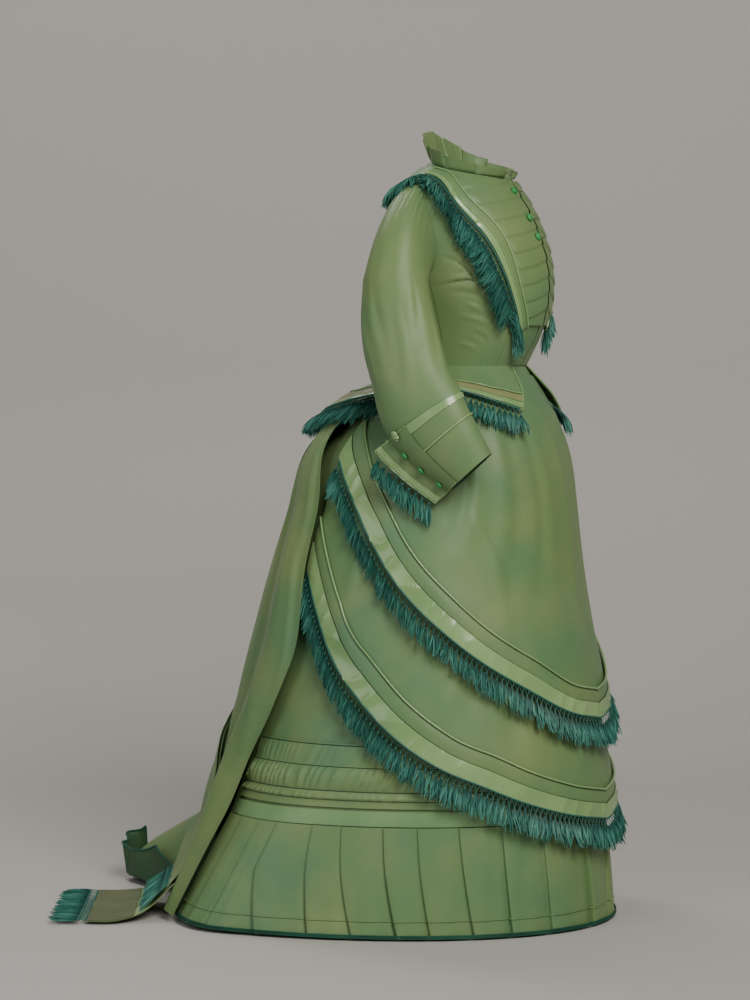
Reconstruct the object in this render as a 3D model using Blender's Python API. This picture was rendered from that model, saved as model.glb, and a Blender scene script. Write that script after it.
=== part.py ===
"""Victorian bustle dress in green silk, standing hollow as worn, for Blender 4.5 (metres, +Z up).

The origin is the centre of the waist, the front faces -Y and the wearer's right is -X. Every panel
is a thin wall between two grids read from a few section tables: one for the torso, one for the
skirt and one for each arm. Angles run round the body from 0 at centre front, through 90 at the
wearer's right, to 180 at centre back; the wearer's left has negative angles.
"""

from collections import namedtuple

import bmesh
import bpy
import numpy as np
from mathutils import Matrix, Vector

CLOTH = 0.0014  # wall of one panel
SEAM = 0.0006  # gap between pieces that are sewn together
LAYER = CLOTH + SEAM  # one panel lying on another
ONLAY = LAYER + 0.0005  # the same over a curve whose facets differ
FLOOR = -1.020

HEM_CLEAR = 0.002  # the skirt's hem above the floor
FRINGE_DROP = 0.056  # length of a tassel lock
HEADING = 0.007  # netted strip that the locks hang from
ON_SLEEVE_REACH, ON_SLEEVE_FALL = 0.044, 0.022  # a shoulder lock's run over the sleeve's head
PLEAT_COUNT = 20
PLEAT_DEPTH = 0.007
PUFF_GATHERS = 20
RUFFLE_PLEATS = 12
FRONT_PLEATS = 9
PLASTRON_LAP = 0.0024  # how far a flat pleat of the fronts stands up
BUTTON_RADIUS = 0.0065
DRAPE_FLUTES = 5
TRAIN_REACH = 0.215

Section = namedtuple("Section", "z front mid half_width back")

TORSO = [
    Section(0.000, -0.102, 0.000, 0.122, 0.088),
    Section(0.060, -0.134, 0.004, 0.128, 0.092),
    Section(0.130, -0.152, 0.014, 0.143, 0.104),
    Section(0.200, -0.146, 0.030, 0.158, 0.114),
    Section(0.260, -0.124, 0.042, 0.166, 0.120),
    Section(0.310, -0.096, 0.046, 0.160, 0.118),
    Section(0.345, -0.073, 0.038, 0.120, 0.100),
    Section(0.372, -0.058, 0.028, 0.076, 0.074),
    Section(0.392, -0.048, 0.020, 0.054, 0.056),
]

SKIRT = [
    Section(0.00, -0.0994, 0.000, 0.1194, 0.0848),
    Section(-0.06, -0.134, 0.020, 0.160, 0.175),
    Section(-0.15, -0.163, 0.040, 0.212, 0.282),
    Section(-0.28, -0.180, 0.060, 0.247, 0.330),
    Section(-0.42, -0.193, 0.080, 0.272, 0.370),
    Section(-0.56, -0.211, 0.100, 0.290, 0.404),
    Section(-0.68, -0.228, 0.130, 0.308, 0.428),
    Section(-0.80, -0.243, 0.190, 0.333, 0.454),
    Section(-0.90, -0.253, 0.260, 0.356, 0.480),
    Section(-1.02, -0.258, 0.340, 0.380, 0.512),
]

PEPLUM = [  # the basque, which stands clear of the skirt's layers and out over the bustle
    Section(0.000, -0.102, 0.000, 0.122, 0.088),
    Section(-0.020, -0.120, 0.008, 0.142, 0.148),
    Section(-0.050, -0.147, 0.020, 0.172, 0.228),
    Section(-0.100, -0.171, 0.036, 0.208, 0.294),
    Section(-0.160, -0.190, 0.048, 0.236, 0.318),
]

Edge = namedtuple("Edge", "angle z")

UPPER_HEM = [  # lower edge of the upper apron, wearer's right; the left mirrors it
    Edge(0, -0.650),
    Edge(18, -0.628),
    Edge(34, -0.580),
    Edge(49, -0.528),
    Edge(63, -0.468),
    Edge(79, -0.392),
    Edge(96, -0.296),
    Edge(108, -0.224),
    Edge(120, -0.164),
    Edge(135, -0.100),
]
LOWER_HEM = [
    Edge(0, -0.832),
    Edge(20, -0.808),
    Edge(34, -0.780),
    Edge(46, -0.748),
    Edge(58, -0.716),
    Edge(72, -0.664),
    Edge(86, -0.596),
    Edge(100, -0.520),
    Edge(109, -0.452),
    Edge(115, -0.408),
    Edge(126, -0.330),
]
DRAPE_EDGE = [  # front edge of the back drapery, from the waist to the floor
    Edge(127, -0.020),
    Edge(130, -0.120),
    Edge(120, -0.236),
    Edge(117, -0.372),
    Edge(113, -0.520),
    Edge(117, -0.620),
    Edge(121, -0.720),
    Edge(120, -0.820),
    Edge(119, -1.020),
]
PEPLUM_HEM = [  # lower edge of the basque
    Edge(0, -0.084),
    Edge(28, -0.082),
    Edge(45, -0.066),
    Edge(66, -0.048),
    Edge(90, -0.046),
    Edge(120, -0.058),
    Edge(150, -0.080),
    Edge(180, -0.088),
]
BRETELLE_INNER = [  # from centre back over the shoulder to the front waist
    Edge(180, 0.364),
    Edge(140, 0.363),
    Edge(105, 0.360),
    Edge(80, 0.355),
    Edge(62, 0.340),
    Edge(46, 0.290),
    Edge(35, 0.236),
    Edge(30, 0.140),
    Edge(20, 0.072),
]
BRETELLE_OUTER = [
    Edge(180, 0.332),
    Edge(140, 0.334),
    Edge(108, 0.342),
    Edge(84, 0.344),
    Edge(66, 0.322),
    Edge(55, 0.274),
    Edge(46, 0.226),
    Edge(37, 0.130),
    Edge(27, 0.064),
]

ArmRing = namedtuple("ArmRing", "x y z half_width half_thick")

BENT_ARM = [  # the wearer's right, with the forearm brought forward
    ArmRing(-0.186, 0.036, 0.248, 0.064, 0.068),
    ArmRing(-0.210, 0.050, 0.206, 0.068, 0.060),
    ArmRing(-0.224, 0.050, 0.155, 0.060, 0.053),
    ArmRing(-0.240, 0.036, 0.066, 0.071, 0.051),
    ArmRing(-0.258, 0.006, -0.018, 0.073, 0.047),
    ArmRing(-0.266, -0.024, -0.082, 0.080, 0.043),
    ArmRing(-0.260, -0.062, -0.134, 0.071, 0.039),
    ArmRing(-0.248, -0.108, -0.188, 0.053, 0.034),
]
HANGING_ARM = [  # the wearer's left, hanging at the side
    ArmRing(-0.186, 0.036, 0.248, 0.064, 0.068),
    ArmRing(-0.210, 0.058, 0.206, 0.066, 0.060),
    ArmRing(-0.226, 0.068, 0.155, 0.062, 0.053),
    ArmRing(-0.244, 0.082, 0.066, 0.070, 0.050),
    ArmRing(-0.262, 0.078, -0.022, 0.070, 0.044),
    ArmRing(-0.274, 0.058, -0.092, 0.064, 0.040),
    ArmRing(-0.280, 0.032, -0.152, 0.056, 0.036),
    ArmRing(-0.284, 0.002, -0.214, 0.048, 0.032),
]
ARMS = {"R": (BENT_ARM, 1.0), "L": (HANGING_ARM, -1.0)}
SIDES = {"R": 1.0, "L": -1.0}
ARMHOLE_TOP, ARMHOLE_BOTTOM = 0.332, 0.168
ARMHOLE_FRONT, ARMHOLE_BACK = 11.0, 40.0  # how far the armhole cuts in from the side, in degrees
NECK_BACK, NECK_FRONT = 0.390, 0.348

COLOURS = {
    "taffeta": (0.155, 0.235, 0.105),
    "satin": (0.31, 0.50, 0.26),
    "fringe": (0.022, 0.145, 0.105),
    "braid": (0.012, 0.085, 0.05),
    "button": (0.045, 0.26, 0.065),
}
ROUGHNESS = {"taffeta": 0.45, "satin": 0.25, "fringe": 0.65, "braid": 0.6, "button": 0.4}


def smooth_read(xs, values, x):
    """Cubic Hermite through the values, with slopes from their neighbours and none past the ends."""
    xs = np.asarray(xs, float)
    values = np.asarray(values, float)
    if xs[0] > xs[-1]:
        xs, values = xs[::-1], values[::-1]
    slopes = np.gradient(values, xs)
    x = np.clip(x, xs[0], xs[-1])
    i = np.clip(np.searchsorted(xs, x) - 1, 0, len(xs) - 2)
    width = xs[i + 1] - xs[i]
    s = (x - xs[i]) / width
    start = (2 * s**3 - 3 * s**2 + 1) * values[i] + (s**3 - 2 * s**2 + s) * width * slopes[i]
    end = (3 * s**2 - 2 * s**3) * values[i + 1] + (s**3 - s**2) * width * slopes[i + 1]
    return start + end


def column(table, name):
    return [getattr(row, name) for row in table]


def edge_height(edge, angle):
    return smooth_read(column(edge, "angle"), column(edge, "z"), np.abs(angle))


def edge_angle(edge, z):
    return smooth_read(column(edge, "z"), column(edge, "angle"), z)


def on_section(table, angle, z):
    """The point of a section table at an angle and a height."""
    turn = np.radians(angle)
    at = {name: smooth_read(column(table, "z"), column(table, name), z) for name in Section._fields[1:]}
    forward = np.cos(turn)
    reach = np.where(forward > 0, at["mid"] - at["front"], at["back"] - at["mid"])
    return np.stack([-at["half_width"] * np.sin(turn), at["mid"] - reach * forward, z], -1)


def surface(table, angle, z, out=0.0):
    """Points of the section table's surface, moved out along its normal."""
    angle, z, out = np.broadcast_arrays(
        np.asarray(angle, float), np.asarray(z, float), np.asarray(out, float)
    )
    step, rise = 0.5, 0.002
    round_it = on_section(table, angle + step, z) - on_section(table, angle - step, z)
    low = min(column(table, "z")) + rise
    high = max(column(table, "z")) - rise
    level = np.clip(z, low, high)
    up_it = on_section(table, angle, level + rise) - on_section(table, angle, level - rise)
    normal = np.cross(up_it, round_it)
    normal /= np.linalg.norm(normal, axis=-1, keepdims=True)
    return on_section(table, angle, z) + normal * out[..., None]


def skirt(angle, z, out=0.0):
    return surface(SKIRT, angle, z, out)


def torso(angle, z, out=0.0):
    return surface(TORSO, angle, z, out)


def basque(angle, z, out=0.0):
    return surface(PEPLUM, angle, z, out)


def ramp(x, start, end):
    """0 before start, 1 after end, smooth between."""
    s = np.clip((np.asarray(x, float) - start) / (end - start), 0, 1)
    return s * s * (3 - 2 * s)


def bump(x, middle, width):
    return np.exp(-(((np.asarray(x, float) - middle) / width) ** 2))


def material(kind):
    found = bpy.data.materials.get(kind)
    if found:
        return found
    made = bpy.data.materials.new(kind)
    made.use_nodes = True
    shader = made.node_tree.nodes["Principled BSDF"]
    shader.inputs["Base Color"].default_value = (*COLOURS[kind], 1)
    shader.inputs["Roughness"].default_value = ROUGHNESS[kind]
    return made


def add_object(name, points, faces, kind):
    mesh = bpy.data.meshes.new(name)
    mesh.from_pydata([tuple(p) for p in points], [], faces)
    work = bmesh.new()
    work.from_mesh(mesh)
    bmesh.ops.recalc_face_normals(work, faces=work.faces)
    if work.calc_volume(signed=True) < 0:
        bmesh.ops.reverse_faces(work, faces=work.faces)
    work.to_mesh(mesh)
    work.free()
    mesh.shade_smooth()
    mesh.set_sharp_from_angle(angle=np.radians(40))
    made = bpy.data.objects.new(name, mesh)
    made.data.materials.append(material(kind))
    bpy.context.scene.collection.objects.link(made)
    return made


def wall(name, outer, inner, kind, closed=False):
    """A cloth wall between two grids of the same shape; closed joins the last column to the first."""
    columns, rows = outer.shape[:2]
    points = np.concatenate([outer.reshape(-1, 3), inner.reshape(-1, 3)])
    back = columns * rows
    faces = []
    last = columns if closed else columns - 1
    for i in range(last):
        j = (i + 1) % columns
        for k in range(rows - 1):
            a, b, c, d = i * rows + k, j * rows + k, j * rows + k + 1, i * rows + k + 1
            for x, y, w in ((a, b, c), (a, c, d)):
                faces.append((x, y, w))
                faces.append((back + w, back + y, back + x))
        for k, flip in ((0, False), (rows - 1, True)):
            a, b = i * rows + k, j * rows + k
            rim = (a, back + a, back + b, b)
            faces.append(rim[::-1] if flip else rim)
    if not closed:
        for i, flip in ((0, True), (columns - 1, False)):
            for k in range(rows - 1):
                a, d = i * rows + k, i * rows + k + 1
                rim = (a, back + a, back + d, d)
                faces.append(rim[::-1] if flip else rim)
    return add_object(name, points, faces, kind)


def panel(name, body, angle, z, out, kind="taffeta", closed=False, thick=CLOTH):
    """A wall on the torso or the skirt, with its outer face moved out by out."""
    return wall(name, body(angle, z, out), body(angle, z, np.asarray(out) - thick), kind, closed)


def grid_on(across, down):
    return np.meshgrid(np.asarray(across, float), np.asarray(down, float), indexing="ij")


def fringe(name, root, belly, tip, kind="fringe"):
    """Tassel locks on a netted strip. Each row of root is (top, front foot, back foot) of the strip;
    every other cell of the strip carries one lock, which swells at the belly and ends in a point."""
    count = len(root)
    points = list(root.reshape(-1, 3))
    faces = [(0, 1, 2), (3 * count - 3, 3 * count - 1, 3 * count - 2)]
    for i in range(count - 1):
        a, b = 3 * i, 3 * i + 3
        faces.append((a, b, b + 1, a + 1))
        faces.append((a, a + 2, b + 2, b))
        if i % 2:
            faces.append((a + 1, b + 1, b + 2, a + 2))
            continue
        ring = [a + 1, b + 1, b + 2, a + 2]
        swell = []
        middle = belly[i // 2]
        centre = (points[a + 1] + points[b + 1] + points[b + 2] + points[a + 2]) / 4
        for corner in ring:
            swell.append(len(points))
            points.append(middle + (points[corner] - centre) * 1.3)
        for k in range(4):
            faces.append((ring[k], ring[(k + 1) % 4], swell[(k + 1) % 4], swell[k]))
        end = len(points)
        points.append(tip[i // 2])
        for k in range(4):
            faces.append((swell[k], swell[(k + 1) % 4], end))
    return add_object(name, points, faces, kind)


def fringe_on(name, body, angle, z, out, drop=FRINGE_DROP, flare=0.004, thick=0.005, over_sleeve=0.0):
    """Fringe below a line on the torso or skirt: angle and z give 2n points for n locks."""
    top = body(angle, z + HEADING, out)
    foot_front = body(angle, z, out + thick)
    foot_back = body(angle, z, out)
    root = np.stack([top, foot_front, foot_back], 1)
    mid_angle = (angle[0::2] + angle[1::2]) / 2
    mid_z = (z[0::2] + z[1::2]) / 2
    out = np.broadcast_to(out, angle.shape)
    mid_out = (out[0::2] + out[1::2]) / 2 + thick / 2
    start = body(mid_angle, mid_z, mid_out)
    shoulder = over_sleeve * bump(np.abs(np.where(mid_angle > 180, 360 - mid_angle, mid_angle)), 88, 20)
    away = start - body(mid_angle, mid_z, 0.0)
    away[:, 2] = 0
    away /= np.linalg.norm(away, axis=1, keepdims=True)
    ends = []
    for share, extra in ((0.6, 0.6 * flare), (1.0, flare)):
        end = body(mid_angle, mid_z - share * drop, mid_out + extra)
        inside = np.hypot(end[:, 0], end[:, 1]) < np.hypot(start[:, 0], start[:, 1])
        end[inside, :2] = start[inside, :2]
        resting = start + share * (away * ON_SLEEVE_REACH - np.array([0, 0, ON_SLEEVE_FALL]))
        weight = shoulder[:, None]
        ends.append(end * (1 - weight) + resting * weight)
    return fringe(name, root, ends[0], ends[1])


def spread(edge_angles, body, edge, out, locks):
    """Angles of 2 * locks points, evenly spaced along a hem's real length."""
    fine = np.linspace(edge_angles[0], edge_angles[1], 400)
    line = body(fine, edge_height(edge, fine), out)
    run = np.concatenate([[0], np.cumsum(np.linalg.norm(np.diff(line, axis=0), axis=1))])
    count = 2 * locks
    places = np.linspace(0, 1, count - 1)
    starts = places[0::2]
    # a lock takes two thirds of its pitch and the gap the rest
    pitch = starts[1] - starts[0]
    along = np.sort(np.concatenate([starts, starts + 0.62 * pitch]))
    along = along / along[-1]
    return np.interp(along * run[-1], run, fine)


# Skirt layers, from the inside out

def apron_out(z, layer):
    """How far an apron's outer face stands off the underskirt at a height."""
    if layer == "lower":
        return 0.008 + 0.018 * ramp(-z, 0.45, 0.80)
    return 0.006 + 0.007 * ramp(-z, 0.02, 0.15) + 0.022 * ramp(-z, 0.30, 0.66)


def foundation(angle, z, out=0.0):
    """The underskirt: the skirt's surface, drawn in behind under the drapery."""
    points = skirt(angle, z, out)
    behind = ramp(np.abs(np.abs(angle) - 180), 50, 28)
    points[..., 1] -= 0.11 * behind * ramp(-np.asarray(z), 0.55, 0.95)
    return points


def make_underskirt():
    heights = [0.0, -0.020, -0.045, -0.075, -0.115, -0.19, -0.32, -0.56, -0.675, -0.79, -0.822]
    heights.append(FLOOR + HEM_CLEAR)
    angle, z = grid_on(np.arange(0, 360, 15), heights)
    panel("underskirt", foundation, angle, z, 0.0, closed=True)


def make_puff():
    columns = 2 * PUFF_GATHERS
    angle, down = grid_on(np.arange(columns + 1) * 250 / columns - 125, [0, 0.3, 0.7, 1.0])
    z = -0.676 - 0.112 * down
    wave = np.where(np.arange(columns + 1) % 2 == 0, 1.0, 0.45)[:, None]
    out = ONLAY + (0.010 * np.sin(np.pi * down)) * wave
    panel("ruched_puff", skirt, angle, z, out)


def make_skirt_band():
    angle, z = grid_on(np.arange(-125, 126, 6.25), [-0.7895, -0.8205])
    panel("skirt_satin_band", skirt, angle, z, ONLAY, kind="satin")


def pleat_profile(turn):
    """Knife pleats: each face slopes out from its fold and steps back over the next."""
    place = (turn * PLEAT_COUNT) % 1.0
    return np.interp(place, [0.0, 0.07, 0.93, 1.0], [0.0, 1.0, 0.75, 0.0])


def make_flounce():
    starts = np.arange(PLEAT_COUNT)[:, None] + np.array([0.0, 0.07, 0.93])[None, :]
    turn = np.append(starts.ravel(), PLEAT_COUNT) / PLEAT_COUNT
    share, down = grid_on(turn, [0.0, 0.5, 1.0])
    angle = 126 - 252 * share
    top, hem = -0.8211, FLOOR + HEM_CLEAR
    z = top + (hem - top) * down
    fold = np.clip(pleat_profile(share), 0, 1)
    out = ONLAY + PLEAT_DEPTH * fold * (0.35 + 0.65 * down) + 0.004 * down
    panel("pleated_flounce", skirt, angle, z, out)
    angle, z = grid_on(np.linspace(126, -126, 43), [hem + 0.009, hem])
    lip = ONLAY + PLEAT_DEPTH + 0.004 + ONLAY
    panel("hem_braid", skirt, angle, z, lip, kind="braid")


def make_apron(layer, hem_edge, reach, top_z, rows, locks):
    """An apron panel, its satin band and its fringe."""
    columns = 25
    turn = np.linspace(-1, 1, columns)
    angle_line = reach * turn
    hem = edge_height(hem_edge, angle_line)
    top = top_z(angle_line)
    band = 0.034
    down = np.linspace(0, 1, rows) ** 1.5
    z = np.empty((columns, rows + 1))
    z[:, :rows] = top[:, None] + (hem + band - top)[:, None] * down
    z[:, rows] = hem
    fall = (z - top[:, None]) / (hem - top)[:, None]
    angle = np.repeat(angle_line[:, None], rows + 1, 1)
    tuck = np.clip(1 - fall / 0.12, 0, 1)
    seat = ONLAY if layer == "upper" else ONLAY + 0.0005
    out = apron_out(z, layer) * (1 - tuck) + seat * tuck
    panel(layer + "_apron", skirt, angle, z, out)
    lift = LAYER
    panel(layer + "_apron_satin_band", skirt, angle[:, -2:], z[:, -2:], out[:, -2:] + lift, kind="satin")
    along = spread((-reach + 1, reach - 1), skirt, hem_edge, 0.03, locks)
    height = edge_height(hem_edge, along)
    lip = apron_out(height, layer) + lift + SEAM
    fringe_on(layer + "_apron_fringe", skirt, along, height + 0.002, lip)


def upper_top(angle):
    return np.full_like(np.asarray(angle, float), -0.020)


def lower_top(angle):
    return edge_height(UPPER_HEM, angle) + 0.075


def drape_base(share, z):
    """Stands clear of the aprons at its front edges and lies closer behind."""
    front = ramp(np.abs(np.asarray(share) - 0.5), 0.25, 0.42)
    return CLOTH + 0.0004 + (0.0138 + 0.013 * front) * ramp(-np.asarray(z), 0.02, 0.12)


def flute_depth(z):
    return 0.004 * ramp(-np.asarray(z), 0.02, 0.06) + 0.016 * ramp(-np.asarray(z), 0.10, 0.90)


def drape_out(share, z):
    """Soft flutes of the back drapery, deeper towards the floor."""
    flute = 0.5 - 0.5 * np.cos(2 * np.pi * DRAPE_FLUTES * share)
    return drape_base(share, z) + flute_depth(z) * flute


def drapery(angle, z, out=0.0):
    """The skirt's surface with the train drawn back along the floor behind."""
    points = skirt(angle, z, out)
    z = np.asarray(z)
    points[..., 1] += TRAIN_REACH * bump(angle, 188, 20) * ramp(-z, 0.80, 1.00)
    points[..., 1] -= 0.050 * bump(angle, 146, 12) * ramp(-z, 0.80, 0.97)
    return points


def make_drapery():
    rows = [-0.020, -0.045, -0.075, -0.115, -0.19, -0.32, -0.48, -0.64, -0.78, -0.89, FLOOR + HEM_CLEAR]
    share, heights = grid_on(np.linspace(0, 1, 26), rows)
    start = edge_angle(DRAPE_EDGE, heights)
    angle = start + (360 - 2 * start) * share
    arch = 0.075 * bump(angle, 163, 8) * ramp(-heights, 0.88, 1.0)
    heights = heights + arch
    panel("back_drapery", drapery, angle, heights, drape_out(share, heights))


# Bodice

def neckline(angle):
    return NECK_FRONT + (NECK_BACK - NECK_FRONT) * (1 - np.cos(np.radians(angle))) / 2


def side_seam(z, cut):
    """Angle of a panel's side edge: the side seam, the armhole's curve and the shoulder seam."""
    s = np.clip((z - ARMHOLE_BOTTOM) / (ARMHOLE_TOP - ARMHOLE_BOTTOM), 0, 1)
    return 90 + cut * np.sin(np.pi * s) ** 0.8


def make_bodice():
    rows = [0.0, 0.10, 0.24, 0.40, 0.52, 0.64, 0.75, 0.85, 0.93, 1.0]
    for side, sign in SIDES.items():
        share, up = grid_on(np.linspace(0, 1, 8), rows)
        level = 0.001 + up * (NECK_FRONT + 0.012 - 0.001)
        seam = side_seam(level, -ARMHOLE_FRONT) - 0.25
        angle = 1.0 + (seam - 1.0) * share
        z = 0.0005 + up * (neckline(angle) - 0.0005)
        panel("bodice_front_" + side, torso, sign * angle, z, 0.0)
    share, up = grid_on(np.linspace(0, 1, 13), rows)
    level = 0.001 + up * (NECK_FRONT + 0.012 - 0.001)
    seam = side_seam(level, ARMHOLE_BACK) + 0.25
    angle = seam + (360 - 2 * seam) * share
    z = 0.0005 + up * (neckline(angle) - 0.0005)
    panel("bodice_back", torso, angle, z, 0.0)


PLASTRON_OUT = ONLAY + 0.0010


PLASTRON_LOW, PLASTRON_HIGH = 0.075, NECK_FRONT - 0.012


def make_plastron():
    """Fronts laid in flat horizontal pleats between the bretelles, with buttons down the right one."""
    steps = np.sort(np.concatenate([np.arange(FRONT_PLEATS), np.arange(FRONT_PLEATS) + 0.9]))
    up = np.append(steps, FRONT_PLEATS) / FRONT_PLEATS
    for side, sign in SIDES.items():
        share, rise = grid_on(np.linspace(0, 1, 4), up)
        z = PLASTRON_LOW + (PLASTRON_HIGH - PLASTRON_LOW) * rise
        reach = edge_angle(BRETELLE_INNER[4:], z) - 2.5
        angle = sign * (1.4 + (np.minimum(reach, 60) - 1.4) * share)
        lap = np.tile(np.append(np.tile([PLASTRON_LAP, 0.0], FRONT_PLEATS), PLASTRON_LAP), (4, 1))
        panel("plastron_" + side, torso, angle, z, PLASTRON_OUT + lap)
        if side == "R":
            make_front_buttons(torso(angle, z, PLASTRON_OUT + lap))


def make_front_buttons(front):
    """Covered buttons on the right front, each on the face of one pleat."""
    for number, (pleat, up) in enumerate(((8, 0.35), (6, 0.70), (5, 0.50)), 1):
        cell = front[0:2, 2 * pleat : 2 * pleat + 2]
        foot = cell[0] * 0.6 + cell[1] * 0.4
        seat = foot[0] * (1 - up) + foot[1] * up
        off = np.cross(cell[1, 1] - cell[0, 0], cell[0, 1] - cell[1, 0])
        make_button(f"front_button_{number}", seat, off * -np.sign(off[1]))


def make_collar():
    """A standing ruffle in box pleats round the neck, open at the front."""
    per = 3
    columns = RUFFLE_PLEATS * per + 1
    share, up = grid_on(np.linspace(0, 1, columns), [0.0, 0.3, 1.0])
    angle = 8 + 344 * share
    base_z = neckline(angle) - 0.006
    outer = torso(angle, base_z, LAYER + 0.0002)
    away = outer - torso(angle, base_z, 0.0)
    away[..., 2] = 0
    away /= np.linalg.norm(away, axis=-1, keepdims=True)
    pleat = np.tile([1.0, 1.0, 0.0], RUFFLE_PLEATS)
    pleat = np.append(pleat, 1.0)[:, None]
    back = (1 - np.cos(np.radians(angle))) / 2
    height = (0.022 + 0.026 * back) * up
    lean = (0.002 + 0.010 * back) * up + 0.0055 * pleat * up
    outer = outer + away * lean[..., None]
    outer[..., 2] += height
    wall("collar_ruffle", outer, outer - away * CLOTH, "taffeta")


def bretelle_line(edge, start, end, count):
    """Angles and heights evenly spaced along part of a bretelle's edge, by index of its rows."""
    at = np.linspace(start, end, count)
    index = np.arange(len(edge))
    return (
        smooth_read(index, column(edge, "angle"), at),
        smooth_read(index, column(edge, "z"), at),
    )


BRETELLE_OUT = LAYER + 0.0017
YOKE_OUT = LAYER + 0.0013


def make_bretelles():
    """Flat revers from the waist to the shoulder, and the yoke across the back, with their fringe."""
    shoulder = 2.72
    last = len(BRETELLE_INNER) - 1
    for side, sign in SIDES.items():
        inner_angle, inner_z = bretelle_line(BRETELLE_INNER, shoulder + 0.02, last, 10)
        outer_angle, outer_z = bretelle_line(BRETELLE_OUTER, shoulder + 0.02, last, 10)
        share = np.linspace(0, 1, 4)[:, None]
        angle = inner_angle + (outer_angle - inner_angle) * share
        z = inner_z + (outer_z - inner_z) * share
        panel("bretelle_" + side, torso, sign * angle, z, BRETELLE_OUT)
        panel(
            "bretelle_satin_" + side,
            torso,
            sign * angle[2:],
            z[2:],
            BRETELLE_OUT + LAYER,
            kind="satin",
        )
        locks = 15
        along_angle, along_z = bretelle_line(BRETELLE_OUTER, shoulder + 0.1, last - 0.05, 2 * locks)
        fringe_on(
            "bretelle_fringe_" + side,
            torso,
            sign * (along_angle + 1.0),
            along_z - 0.008,
            BRETELLE_OUT + 0.0004,
            drop=0.045,
            flare=0.008,
            over_sleeve=1.0,
        )
    right_inner = bretelle_line(BRETELLE_INNER, 0, shoulder - 0.02, 8)
    right_outer = bretelle_line(BRETELLE_OUTER, 0, shoulder - 0.02, 8)
    share = np.linspace(0, 1, 3)[:, None]
    half_angle = right_inner[0] + (right_outer[0] - right_inner[0]) * share
    half_z = right_inner[1] + (right_outer[1] - right_inner[1]) * share
    angle = np.concatenate([half_angle[:, ::-1], 360 - half_angle[:, 1:]], 1)
    z = np.concatenate([half_z[:, ::-1], half_z[:, 1:]], 1)
    panel("back_yoke", torso, angle, z, YOKE_OUT)
    locks = 14
    half = bretelle_line(BRETELLE_OUTER, 0.0, shoulder - 0.15, locks)
    along_angle = np.concatenate([half[0][::-1], 360 - half[0]])
    along_angle[locks - 1] -= 1.2
    along_angle[locks] += 1.2
    along_z = np.concatenate([half[1][::-1], half[1]]) - 0.008
    fringe_on(
        "back_yoke_fringe",
        torso,
        along_angle,
        along_z,
        YOKE_OUT + 0.0004,
        drop=0.045,
        flare=0.008,
        over_sleeve=1.0,
    )


def folded(angle):
    """The same place on the wearer's right, for an angle anywhere round the body."""
    angle = np.abs(angle)
    return np.where(angle > 180, 360 - angle, angle)


def peplum_piece(name, angles, locks, front_lean=0.0):
    """One basque panel with its satin hem band and its fringe."""
    angles = np.asarray(angles, float)
    share, down = grid_on(np.linspace(0, 1, len(angles)), [0.0, 0.34, 0.68, 1.0])
    lean = front_lean * down * (1 - share) ** 2
    angle = angles[:, None] + np.sign(angles[0]) * lean
    z = edge_height(PEPLUM_HEM, folded(angle)) * down
    panel("peplum_" + name, basque, angle, z, 0.0)
    panel("peplum_satin_" + name, basque, angle[:, -2:], z[:, -2:], LAYER, kind="satin")
    hem = angle[:, -1]
    along = np.interp(np.linspace(0.01, 0.99, 2 * locks), np.linspace(0, 1, len(hem)), hem)
    height = edge_height(PEPLUM_HEM, folded(along))
    fringe_on("peplum_fringe_" + name, basque, along, height + 0.002, LAYER + SEAM, drop=0.050)


def make_peplum():
    for side, sign in SIDES.items():
        peplum_piece("front_" + side, sign * np.linspace(18, 93.7, 11), 11, front_lean=10)
    peplum_piece("back", np.linspace(94.3, 265.7, 21), 16)


# Sleeves

def armhole_ring(turn):
    """Points just outside the armhole's edge, for the same turns as a sleeve's rings."""
    height = (ARMHOLE_TOP + ARMHOLE_BOTTOM) / 2 - np.sin(turn) * (ARMHOLE_TOP - ARMHOLE_BOTTOM) / 2 * 1.02
    forward = np.cos(turn)
    angle = 90 + np.where(forward > 0, (ARMHOLE_BACK + 1) * forward, (ARMHOLE_FRONT + 1) * forward)
    return torso(angle, height, ONLAY)


def sleeve_rings(arm, turns, out, lengths):
    """Rings of the sleeve at the given lengths, 0 at the armhole and 1 at the wrist."""
    centres = np.array([[row.x, row.y, row.z] for row in arm])
    index = np.arange(len(arm))
    place = np.asarray(lengths) * (len(arm) - 1)
    centre = np.stack([smooth_read(index, centres[:, k], place) for k in range(3)], -1)
    ahead = np.stack([smooth_read(index, centres[:, k], place + 0.1) for k in range(3)], -1)
    behind = np.stack([smooth_read(index, centres[:, k], place - 0.1) for k in range(3)], -1)
    along = ahead - behind
    along[place < 0.5] += np.array([-0.012, 0, 0])
    along /= np.linalg.norm(along, axis=1, keepdims=True)
    fore = np.array([0, 1.0, 0]) - along * along[:, 1:2]
    fore /= np.linalg.norm(fore, axis=1, keepdims=True)
    inward = np.cross(along, fore)
    half_width = smooth_read(index, column(arm, "half_width"), place) + out
    half_thick = smooth_read(index, column(arm, "half_thick"), place) + out
    reach_fore = np.cos(turns)[:, None, None] * (fore * half_width[:, None])[None]
    reach_in = np.sin(turns)[:, None, None] * (inward * half_thick[:, None])[None]
    return centre[None] + reach_fore + reach_in


def sleeve_grid(arm, turns, out, lengths, from_armhole):
    rings = sleeve_rings(arm, turns, out, lengths)
    if not from_armhole:
        return rings
    start = armhole_ring(turns) + np.array([-1.0, 0, 0]) * out
    head = [start]
    for share in (0.33, 0.67):
        crown = SLEEVE_HEAD * np.maximum(-np.sin(turns), 0)[:, None] * 4 * share * (1 - share)
        head.append(start * (1 - share) + rings[:, 0] * share + crown)
    return np.concatenate([np.stack(head, 1), rings], 1)


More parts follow.
